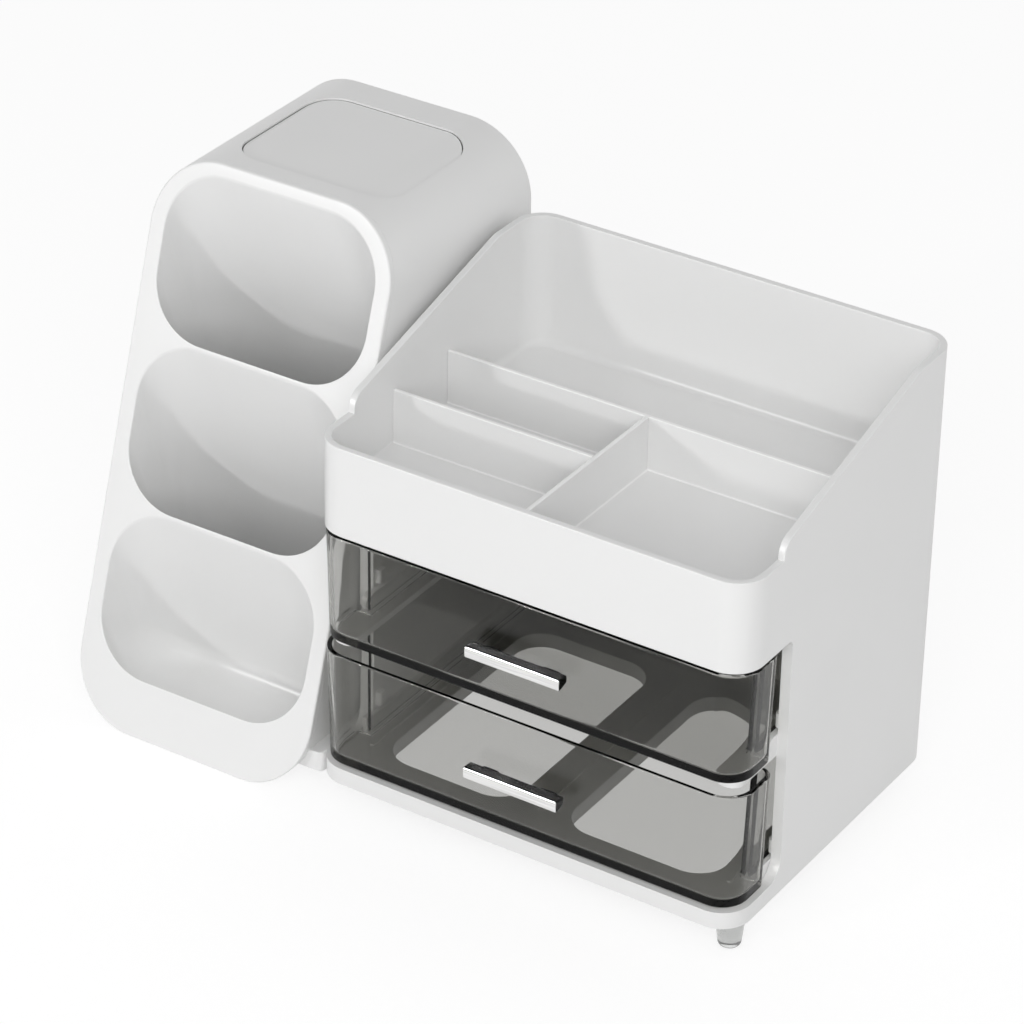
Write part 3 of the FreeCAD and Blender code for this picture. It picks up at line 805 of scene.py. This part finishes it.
def padLoops():
    # the pads under the four corners, each rounded like the plate on its outer corner
    c, b = case, base
    side, front = c["cheek"] + b["gap"], c["panelWall"] + b["gap"]
    back = c["depth"] - c["backWall"] - b["gap"]
    pad = b["pad"]
    spans = ((side, side + pad), (c["width"] - side - pad, c["width"] - side))
    for right, (x0, x1) in enumerate(spans):
        for rear, (y0, y1) in enumerate(((front, front + pad), (back - pad, back))):
            radii = [b["padRound"]] * 4
            radii[(3, 2)[right] if rear else right] = c["corner"] - side
            yield roundedLoop(x0, x1, y0, y1, radii, 6)


def makeBase():
    b = base
    bm = bmesh.new()
    under = b["top"] - b["skin"]
    ends = [edgeRings(bm, baseLoop(0), 1)]
    ends += [edgeRings(bm, windowLoop(span, 0), -1) for span in b["windows"]]
    fillFlat(bm, [low for low, high in ends])
    fillFlat(bm, [high for low, high in ends])
    loops = [(baseLoop(b["apart"]), baseLoop(b["skin"]))]
    loops += [(windowLoop(span, b["skin"]), windowLoop(span, b["apart"])) for span in b["windows"]]
    high = under + b["skirtSunk"]
    for outside, inside in loops:
        rings = [flatRing(bm, loop, 0, z)
                 for loop, z in ((outside, 0), (outside, high), (inside, high), (inside, 0))]
        skin(bm, rings + rings[:1])
    low = b["top"] - b["sunk"]
    for x in b["glides"]:
        block(bm, x, x + b["glideWide"], *b["glideY"], low, b["top"] + b["glideHigh"],
              b["glideCorner"], b["glideRound"])
    near = case["cheek"] + b["gap"]
    far = near + b["guideWide"]
    for x0, x1 in ((near, far), (case["width"] - far, case["width"] - near)):
        block(bm, x0, x1, *b["guideY"], low, b["top"] + b["guideHigh"],
              b["guideCorner"], b["guideRound"])
    high = under + b["padSunk"]
    for loop in padLoops():
        upright(bm, loop, b["padLow"], high, b["buriedEdge"], b["padEdge"])
    for x, y in foot["places"].values():
        upright(bm, discLoop(x, y, foot["radius"]), 0, high, b["buriedEdge"])
    finishPiece("basePlate", bm, "organiser", ["base_plate"], whitePlastic)


makeFeet()
makeBase()
print("base plate and feet made")


# drawers

drawer = {
    "frontY": 0.4,
    "headBack": 27.5,
    "headInset": 0.5,
    "headRound": 5.4,
    "bodyInset": 7.6,
    "bodyBack": 146.5,
    "bodyRound": 5.4,
    "draft": 1.1,
    "wall": 2.0,
    "floor": 2.2,
    "floorRound": 2.0,
    "bottomRound": 0.8,
    "rimRound": 0.45,
    "plinth": 0.8,
    "plinthInset": 2.2,
    "steps": 12,
    "earOut": 5.0,
    "earY": (140.5, 143.4),
    "ears": {"lower_drawer": 15.1, "upper_drawer": 71.7},  # height of their lower edges
    "earHigh": 6.0,
    "earRound": 0.4,
}


def drawerSpan(node):
    # heights of a drawer's foot and rim
    low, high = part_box(node)
    return (low[2] - home.z) / mm, (high[2] - home.z) / mm


def drawerLoop():
    # outline at the rim: wide head in front of the cheeks, narrower body behind
    d, w = drawer, case["width"]
    front = case["corner"] - d["headInset"]
    head = roundedLoop(d["headInset"], w - d["headInset"], d["frontY"], d["headBack"],
                       (front, front, d["headRound"], d["headRound"]), d["steps"])
    body = roundedLoop(d["bodyInset"], w - d["bodyInset"], d["headBack"], d["bodyBack"],
                       (d["bodyRound"],) * 4, d["steps"])
    n = d["steps"] + 1
    inRight = [(w - d["bodyInset"], d["headBack"], 1, 1)]
    inLeft = [(d["bodyInset"], d["headBack"], -1, 1)]
    return head[:3 * n] + inRight + body[2 * n:] + inLeft + head[3 * n:]


def makeTub(name, node):
    d, w = drawer, case["width"]
    bottom, top = drawerSpan(node)
    loop = drawerLoop()
    bm = bmesh.new()

    def tub(inset, z):
        return flatRing(bm, loop, inset + d["draft"] * (top - z) / (top - bottom), z)

    under = bottom + d["plinth"]
    inside = under + d["floor"]
    rings = [tub(d["plinthInset"], bottom), tub(d["plinthInset"], under)]
    rings += [tub(inset, under + rise) for rise, inset in quarter(d["bottomRound"])]
    rim = quarter(d["rimRound"])
    rings += [tub(inset, top - drop) for inset, drop in rim]
    rings += [tub(d["wall"] - inset, top - drop) for inset, drop in reversed(rim)]
    rings += [tub(d["wall"] + out, inside + rise) for out, rise in quarter(d["floorRound"], 6)]
    shut(bm, rings)
    earLow = d["ears"][node]
    wall = d["bodyInset"] + d["draft"] * (top - earLow) / (top - bottom)
    for x0, x1 in ((d["earOut"], wall), (w - wall, w - d["earOut"])):
        block(bm, x0, x1, *d["earY"], earLow, earLow + d["earHigh"], *[d["earRound"]] * 3)
    finishPiece(name, bm, node, [node], smokedPlastic)


handle = {
    "length": 42.0,
    "height": 5.2,
    "depth": 5.8,
    "backHeight": 3.2,
    "standoff": 1.8,
    "crown": 0.35,
    "crownRound": 12.0,
    "round": 0.7,
    "endRound": 0.6,
    "taperBelow": 0.75,  # share of the lost height that goes from the bar's underside
    "pegWide": 7.0,
    "pegHigh": 2.4,
    "pegSpacing": 26.0,
    "pegDrop": 0.7,
    "pegRound": 0.5,
    "pegEdge": 0.05,
}


def makeHandle(name, node, tub):
    # bar taller in front than behind, on two pegs
    h = handle
    bottom, top = drawerSpan(tub)
    middle = (bottom + top) / 2
    upper, lower = middle + h["height"] / 2, middle - h["height"] / 2
    lift = h["height"] - h["backHeight"]
    front = drawer["frontY"] - h["standoff"] - h["depth"]
    back = front + h["depth"]
    section = roundedPolygon([
        (front + h["crown"], lower, h["round"]), (back, lower + h["taperBelow"] * lift, h["round"]),
        (back, upper - (1 - h["taperBelow"]) * lift, h["round"]),
        (front + h["crown"], upper, h["round"]), (front, middle, h["crownRound"])], 5)
    centre = case["width"] / 2
    bm = bmesh.new()
    upright(bm, section, centre - h["length"] / 2, centre + h["length"] / 2,
            h["endRound"], h["endRound"], sideways)
    seat = drawer["frontY"] + drawer["draft"] * (top - middle) / (top - bottom)
    low, high = middle - h["pegDrop"] - h["pegHigh"] / 2, middle - h["pegDrop"] + h["pegHigh"] / 2
    for x in (centre - h["pegSpacing"] / 2, centre + h["pegSpacing"] / 2):
        loop = roundedLoop(x - h["pegWide"] / 2, x + h["pegWide"] / 2, low, high,
                           (h["pegRound"],) * 4, 4)
        upright(bm, loop, back - h["round"], seat, h["pegEdge"], h["pegEdge"], frontal)
    finishPiece(name, bm, tub, [node], handleMetal)


makeTub("lowerTub", "lower_drawer")
makeTub("upperTub", "upper_drawer")
makeHandle("lowerHandle", "lower_handle", "lower_drawer")
makeHandle("upperHandle", "upper_handle", "upper_drawer")
print("drawers made")


# tower

tower = {
    "left": -117.0,
    "right": -4.0,
    "height": 225.6,
    "corner": 29.0,
    "backY": 158.0,
    "toeY": -5.0,
    "lean": 17.6,
    "wall": 2.2,
    "backRound": 1.2,
    "faceWall": 2.6,
    "seam": 0.1,
    "faceRound": 0.8,
    "blockGap": 0.3,
    "steps": 18,
}

well = {
    "margin": 7.1,
    "first": 24.6,  # from the tower's foot to the lowest mouth, along the face
    "last": 5.0,
    "web": 2.0,
    "count": 3,
    "corner": 25.0,
    "slant": 20.0,
    "wall": 1.7,
    "cove": 9.0,
    "mouthRound": 0.7,
    "steps": 16,
}


def planeY(z, depth):
    # y of a point at height z on the sloping face, or this deep behind it
    lean = radians(tower["lean"])
    return tower["toeY"] + (z - floorLevel) * tan(lean) + depth / cos(lean)


def sectionLoop(inset):
    # the tower's section, seen from the front: x, z and outward normal
    t = tower
    return roundedLoop(t["left"] + inset, t["right"] - inset, floorLevel + inset,
                       floorLevel + t["height"] - inset, (t["corner"] - inset,) * 4, t["steps"])


def slopeRing(bm, inset, depth):
    return ring(bm, [(x, planeY(z, depth), z) for x, z, _, _ in sectionLoop(inset)])


def backRing(bm, inset, y):
    return ring(bm, [(x, y, z) for x, z, _, _ in sectionLoop(inset)])


def arch(x, radius):
    # how far an arc that rounds the tower's corners is from the level of their centres
    t = tower
    side = min(max(t["left"] + t["corner"] - x, x - t["right"] + t["corner"], 0), radius)
    return sqrt(radius * radius - side * side)


def wellFloor(x):
    # height of the wells' floor, which curves up with the tower's lower corners
    t = tower
    inset = t["wall"] + t["blockGap"] + well["wall"]
    return floorLevel + t["corner"] - arch(x, t["corner"] - inset)


def wellRings(bm, index):
    # makes one well: mouth edge, slanted wall, rounded foot; gives back its ring in the face
    w, t = well, tower
    lean, slant = radians(t["lean"]), radians(w["slant"])
    up = Vector((0, sin(lean), cos(lean)))
    down = Vector((0, sin(slant), -cos(slant)))
    inward = sin(lean + slant)
    toe = Vector((0, t["toeY"], floorLevel))
    faceLength = t["height"] / cos(lean)
    opening = (faceLength - w["first"] - w["last"] - (w["count"] - 1) * w["web"]) / w["count"]
    s0 = w["first"] + index * (opening + w["web"])
    loop = roundedLoop(t["left"] + w["margin"], t["right"] - w["margin"], s0, s0 + opening,
                       (w["corner"],) * 4, w["steps"])
    rings = []
    for depth, grow in quarter(w["mouthRound"], 5):
        rings.append([toe + Vector((x + nx * grow, 0, 0)) + up * (s + ns * grow)
                      + down * (depth / inward) for x, s, nx, ns in loop])
    mouth = rings[-1]
    floor = [p + down * ((p.z - wellFloor(p.x)) / cos(slant)) for p in mouth]
    inwards = []
    for i in range(len(floor)):
        along = floor[(i + 1) % len(floor)] - floor[i - 1]
        inwards.append(Vector((-along.y, along.x, 0)).normalized())
    for over, high in quarter(w["cove"], 8):
        points = []
        for p, n in zip(floor, inwards):
            q = p - down * (high / cos(slant)) + n * over
            q.z = wellFloor(q.x) + high
            points.append(q)
        rings.append(points)
    made = [ring(bm, points) for points in rings]
    skin(bm, made)
    arched(bm, made[-1], w["steps"])
    return made[0]


def makeBlock():
    t = tower
    bm = bmesh.new()
    inset = t["wall"] + t["blockGap"]
    rings = [slopeRing(bm, side, depth) for side, depth in reversed(quarter(t["faceRound"]))]
    rings += [slopeRing(bm, 0, t["faceWall"]), slopeRing(bm, inset, t["faceWall"]),
              backRing(bm, inset, t["backY"] - inset)]
    skin(bm, rings)
    bm.faces.new(rings[-1])
    fillFlat(bm, [rings[0]] + [wellRings(bm, i) for i in range(well["count"])])
    finishPiece("brushFace", bm, "organiser", ["brush_block"], whitePlastic)


recess = {
    "fromLeft": 24.0,
    "fromRight": 15.7,
    "behindFace": 10.1,  # from the top edge of the face
    "fromBack": 16.5,
    "corner": 14.0,
    "depth": 0.8,
    "groove": 0.5,  # width of the groove round the panel
    "grooveDeep": 1.0,  # below the panel
    "shadeCordLow": 0.1,  # top of the dark cord of painted shade, below the panel
    "shadeCordGap": 0.02,
    "steps": 12,
    "past": 5.0,  # how far the cutter goes past the tower's top
}


def panelRing(bm, grow, drop):
    # ring round the sunk panel, which follows the tower's rounded top
    t, c = tower, recess
    front = planeY(floorLevel + t["height"], 0) + c["behindFace"]
    loop = roundedLoop(t["left"] + c["fromLeft"], t["right"] - c["fromRight"], front,
                       t["backY"] - c["fromBack"], (c["corner"],) * 4, c["steps"])
    middle = floorLevel + t["height"] - t["corner"]
    return ring(bm, [(x + nx * grow, y + ny * grow,
                      middle + arch(x, t["corner"] - c["depth"]) - drop) for x, y, nx, ny in loop])


def recessCutter():
    # sunk panel with a narrow groove round it
    c = recess
    bm = bmesh.new()
    low = panelRing(bm, -c["groove"], 0)
    top = panelRing(bm, 0, -c["past"] - c["depth"] - tower["corner"])
    skin(bm, [low, panelRing(bm, -c["groove"], c["grooveDeep"]),
              panelRing(bm, 0, c["grooveDeep"]), top])
    bm.faces.new(top)
    arched(bm, low, c["steps"])
    return bm


def makeShadeCord():
    # dark cord in the groove that paints the shade along the panel's edge
    c = recess
    bm = bmesh.new()
    inner, low = c["shadeCordGap"] - c["groove"], c["grooveDeep"] - c["shadeCordGap"]
    rings = [panelRing(bm, grow, drop) for grow, drop in (
        (-c["shadeCordGap"], low), (-c["shadeCordGap"], c["shadeCordLow"]), (inner, c["shadeCordLow"]), (inner, low))]
    skin(bm, rings + rings[:1])
    finishPiece("panelShadeCord", bm, "organiser", [], matRubber)


towerFoot = {
    "matLong": 44.0,
    "matWide": 12.0,
    "matDeep": 1.0,
    "matY": (16.0, 140.0),
    "matGap": 0.1,
    "screwIn": 38.0,  # from each side of the tower
    "screwHigh": 20.5,
    "screwHead": 2.4,
    "screwDeep": 1.25,
    "past": 1,  # how far the cutters go past the tower
    "buriedEdge": 0.02,
    "square": 0.05,  # what is left straight at the ends of a mat's pocket
}

bridge = {
    "frontY": 5.5,
    "backY": 132.0,
    "top": 6.2,
    "ledge": 2.5,
    "reach": 12.0,
    "ledgeFrontY": 12.0,
    "round": 2.5,
    "edge": 0.4,
    "ledgeEdge": 0.1,
    "apart": 0.02,  # keeps the two blocks' undersides from lying in one plane
}


def matCutters():
    # pockets of the two mats in the tower's flat foot
    f = towerFoot
    middle = (tower["left"] + tower["right"]) / 2
    long, wide = f["matLong"] / 2 + f["matGap"], f["matWide"] / 2 + f["matGap"]
    for y in f["matY"]:
        bm = bmesh.new()
        block(bm, middle - long, middle + long, y - wide, y + wide, floorLevel - f["past"],
              floorLevel + f["matDeep"], wide - f["square"], f["buriedEdge"])
        yield bm


def screwPlaces():
    f = towerFoot
    return [(x, floorLevel + f["screwHigh"])
            for x in (tower["left"] + f["screwIn"], tower["right"] - f["screwIn"])]


def screwCutters():
    # countersinks in the tower's back
    f = towerFoot
    past = f["past"]
    for x, z in screwPlaces():
        bm = bmesh.new()
        loop = discLoop(x, z, f["screwHead"] + past)
        shut(bm, [flatRing(bm, loop, inset, tower["backY"] + past - inset, frontal)
                  for inset in (0, past, past + f["screwDeep"])])
        yield bm


def makeJacket():
    t, g = tower, bridge
    depth = t["faceWall"] + t["seam"]
    bm = bmesh.new()
    rings = [backRing(bm, t["wall"], t["backY"] - t["wall"]), slopeRing(bm, t["wall"], depth),
             slopeRing(bm, 0, depth)]
    rings += [backRing(bm, inset, t["backY"] - drop) for inset, drop in quarter(t["backRound"])]
    skin(bm, rings)
    bm.faces.new(rings[-1])
    bm.faces.new(rings[0])
    bm = carved(bm, [recessCutter(), *matCutters(), *screwCutters()])
    start = t["right"] - t["wall"] / 2 - t["corner"] / 3  # inside the tower's thick corner
    block(bm, start, 0, g["frontY"], g["backY"], -g["ledge"], g["top"], g["round"], g["edge"])
    block(bm, start, g["reach"], g["ledgeFrontY"], g["backY"], g["apart"] - g["ledge"], 0,
          g["round"], g["ledgeEdge"])
    finishPiece("towerJacket", bm, "organiser", ["tower_jacket"], whitePlastic)


makeBlock()
makeJacket()
makeShadeCord()
print("tower made")


# screws

screw = {
    "Shank Radius": 1.1,
    "Head Radius": 2.3,
    "Head Height": 1.2,
    "Slot Span": 2.5,
    "Slot Width": 0.55,
    "Slot Depth": 0.7,
}


class Tree(Graph):
    # a Geometry Nodes tree with a named input for each length

    def __init__(self, name, lengths):
        super().__init__(bpy.data.node_groups.new(name, "GeometryNodeTree"))
        sockets = self.tree.interface
        sockets.new_socket("Places", in_out="INPUT", socket_type="NodeSocketGeometry")
        for length in lengths:
            sockets.new_socket(length, in_out="INPUT", socket_type="NodeSocketFloat")
        sockets.new_socket("Finish", in_out="INPUT", socket_type="NodeSocketMaterial")
        sockets.new_socket("Pieces", in_out="OUTPUT", socket_type="NodeSocketGeometry")
        given = self.tree.nodes.new("NodeGroupInput").outputs
        self.given = {socket.name: Value(self, socket) for socket in given}

    def vector(self, x, y, z):
        return self.node("ShaderNodeCombineXYZ", values={"X": x, "Y": y, "Z": z})

    def raised(self, shape, height):
        return self.node("GeometryNodeTransform",
                         values={"Geometry": shape, "Translation": self.vector(0, 0, height)})

    def finish(self, pieces):
        whole = self.node("GeometryNodeRealizeInstances", values={"Geometry": pieces})
        painted = self.node("GeometryNodeSetMaterial",
                            values={"Geometry": whole, "Material": self.given["Finish"]})
        self.node("NodeGroupOutput", values={"Pieces": painted})
        return self.tree


def screwTree():
    # one screw along +z with a cross in its head, set at every place and turned to its axis
    t = Tree("screws", ["Length", "Outer Radius", "Inner Radius", "Head Start", "Head Height",
                        "Shank Radius", "Slot Span", "Slot Width", "Slot Depth"])
    g = t.given
    head = t.node("GeometryNodeMeshCone", values={
        "Vertices": 32, "Radius Bottom": g["Outer Radius"], "Radius Top": g["Inner Radius"],
        "Depth": g["Head Height"]})
    bar = t.node("GeometryNodeMeshCube", values={
        "Size": t.vector(g["Slot Span"], g["Slot Width"], g["Slot Depth"] * 2)})
    across = t.node("GeometryNodeTransform",
                    values={"Geometry": bar, "Rotation": (0, 0, pi / 2)})
    cross = t.node("GeometryNodeMeshBoolean", {"operation": "UNION", "solver": "EXACT"},
                   {"Mesh 2": [bar, across]})
    cut = t.node("GeometryNodeMeshBoolean", {"operation": "DIFFERENCE", "solver": "EXACT"},
                 {"Mesh 1": head, "Mesh 2": cross})
    shank = t.node("GeometryNodeMeshCylinder", values={
        "Vertices": 24, "Radius": g["Shank Radius"], "Depth": g["Length"]})
    one = t.node("GeometryNodeJoinGeometry", values={
        "Geometry": [t.raised(cut, g["Head Start"]), t.raised(shank, g["Length"] * 0.5)]})
    axis = t.node("GeometryNodeInputNamedAttribute", {"data_type": "FLOAT_VECTOR"},
                  {"Name": "axis"})
    turn = t.node("FunctionNodeAlignRotationToVector", {"axis": "Z"}, {"Vector": axis})
    return t.finish(t.node("GeometryNodeInstanceOnPoints", values={
        "Points": g["Places"], "Instance": one, "Rotation": turn}))


def grown(tree, places, values):
    # runs a tree on (place, axis) pairs and gives back what it makes as a bmesh
    seeds = bpy.data.meshes.new("places")
    seeds.from_pydata([place for place, axis in places], [], [])
    axes = seeds.attributes.new("axis", "FLOAT_VECTOR", "POINT")
    axes.data.foreach_set("vector", [n for place, axis in places for n in axis])
    holder = placed("places", seeds)
    grower = holder.modifiers.new("grower", "NODES")
    grower.node_group = tree
    for item in tree.interface.items_tree:
        if item.in_out == "INPUT" and item.name in values:
            grower[item.identifier] = values[item.name]
    return settled(holder)


fixings = {
    "baseIn": 3.5,  # from the middle of the corners' rounds towards the corners
    "baseLong": 4.6,
    "bridgeY": (42, 98),
    "bridgeHigh": 2.3,
    "bridgeLong": 11.0,
    "flange": 2.4,  # of the runners, on the cheeks
    "runnerY": (55, 118),
    "runnerHigh": 57.0,
    "runnerLong": 4.6,
    "towerLong": 11.0,
    "towerSunk": 0.02,
}


def makeScrews():
    s, c, f = screw, case, fixings
    pan = {"Outer Radius": s["Head Radius"] - s["Head Height"] / 2,
           "Inner Radius": s["Head Radius"], "Head Start": -s["Head Height"]}
    flush = {"Outer Radius": s["Head Radius"], "Inner Radius": s["Shank Radius"], "Head Start": 0.0}
    inset = c["corner"] - f["baseIn"]
    right, rear = c["width"] - inset, c["depth"] - inset
    skirt = c["cheek"] + base["gap"] + base["skin"]
    flange = c["cheek"] + f["flange"]
    back = tower["backY"] - f["towerSunk"]
    groups = {
        "base_screws": (pan, f["baseLong"], [
            ((x, y, base["padLow"]), (0, 0, 1))
            for x, y in ((inset, inset), (inset, rear), (right, rear))]),
        "bridge_screws": (pan, f["bridgeLong"], [
            ((skirt, y, f["bridgeHigh"]), (-1, 0, 0)) for y in f["bridgeY"]]),
        "runner_screws": (flush, f["runnerLong"], [
            ((x, y, f["runnerHigh"]), (side, 0, 0)) for y in f["runnerY"]
            for x, side in ((flange, -1), (c["width"] - flange, 1))]),
        "tower_screws": (flush, f["towerLong"], [
            ((x, back, z), (0, -1, 0)) for x, z in screwPlaces()]),
    }
    tree = screwTree()
    for node, (kind, length, places) in groups.items():
        bm = grown(tree, places, {**s, **kind, "Length": length, "Finish": screwSteel})
        finishPiece(node.split("_")[0] + "Screws", bm, "organiser", [node],
                    screwSteel)


makeScrews()
for node, finish in (("left_runner", whitePlastic), ("right_runner", whitePlastic),
                     ("drawer_stops", whitePlastic), ("tower_mats", matRubber)):
    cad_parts[node].material_slots[0].material = finish
print("screws made, CAD pieces finished")


# stage

camera = {
    "place": (829.94, -1162.56, 977.37),
    "azimuth": 32.486,
    "elevation": 30.980,
    "roll": 1.044,
    "lens": 155.32,
    "sensor": 36.0,
    "near": 0.05,
    "far": 20,
}


def makeCamera():
    c = camera
    azimuth, elevation, roll = (radians(c[k]) for k in ("azimuth", "elevation", "roll"))
    data = bpy.data.cameras.new("camera")
    data.lens, data.sensor_width, data.sensor_fit = c["lens"], c["sensor"], "HORIZONTAL"
    data.clip_start, data.clip_end = c["near"], c["far"]
    eye = placed("camera", data)
    turn = (Matrix.Rotation(azimuth, 4, "Z") @ Matrix.Rotation(pi / 2 - elevation, 4, "X")
            @ Matrix.Rotation(roll, 4, "Z"))
    eye.matrix_world = Matrix.Translation(home + Vector(c["place"]) * mm) @ turn
    bpy.context.scene.camera = eye


studio = {
    "sky": 0.485,  # light from all round, as a share of white
    "ceiling": 0.7,  # how much darker the ceiling is in reflections
    "ceilingFrom": (0.35, 0.75),
    "target": (0, 0, 0.1),
    "floorSize": 3,
    "floorPaint": 0.9,  # as it lights the object; glow and shade are what is seen of it
    "floorGlow": 0.80,
    "floorShade": 0.28,
}

# direction from the target, distance, size, power, whether it lights things, whether it shines
lamps = {
    "lamp": ((-0.352, -0.914, 0.201), 2.2, 0.15, 6.8, True, True),
    "fill": ((0.46, -0.72, 0.515), 2.4, 1.4, 19.6, True, False),
    "glint": ((-0.46, -0.806, 0.366), 2.2, 0.35, 20.0, False, True),
}


def seenDirectly(f):
    # 1 for rays from the camera, from a gloss and through glass, 0 for those that light things
    return f.ray("Camera") | f.ray("Glossy") | f.ray("Transmission")


def makeFloor():
    bm = bmesh.new()
    bmesh.ops.create_grid(bm, x_segments=1, y_segments=1, size=studio["floorSize"])
    mesh = bpy.data.meshes.new("floor")
    bm.to_mesh(mesh)
    bm.free()
    f = newFinish("floorPaint")
    lit, dim = (f.node("ShaderNodeBsdfDiffuse", values={"Color": (*[studio[name]] * 3, 1)})
                for name in ("floorPaint", "floorShade"))
    glow = f.node("ShaderNodeEmission",
                  values={"Color": (1, 1, 1, 1), "Strength": studio["floorGlow"]})
    shown = f.node("ShaderNodeAddShader", values={0: dim, 1: glow})
    surface = f.node("ShaderNodeMixShader", values={0: seenDirectly(f), 1: lit, 2: shown})
    mesh.materials.append(f.painted(surface))
    floor = placed("floor", mesh)


def makeLight():
    s = studio
    f = Finish(bpy.data.worlds.new("studio"))
    high = f.ramp(f.along("Generated", "Z"), *s["ceilingFrom"])
    strength = (s["sky"] + (1 - s["sky"]) * seenDirectly(f)
                - s["ceiling"] * (high * f.ray("Glossy")))
    sky = f.node("ShaderNodeBackground", values={"Color": (1, 1, 1, 1), "Strength": strength})
    f.node("ShaderNodeOutputWorld", values={"Surface": sky})
    bpy.context.scene.world = f.owner
    for name, (way, away, size, power, lights, shines) in lamps.items():
        data = bpy.data.lights.new(name, "AREA")
        data.size, data.energy = size, power
        side = Vector(way).normalized()
        light = placed(name, data)
        light.location = Vector(s["target"]) + side * away
        light.rotation_euler = side.to_track_quat("Z", "Y").to_euler()
        light.visible_diffuse, light.visible_glossy = lights, shines


makeCamera()
makeFloor()
makeLight()
bpy.context.scene.view_settings.view_transform = "Standard"
print("stage made")
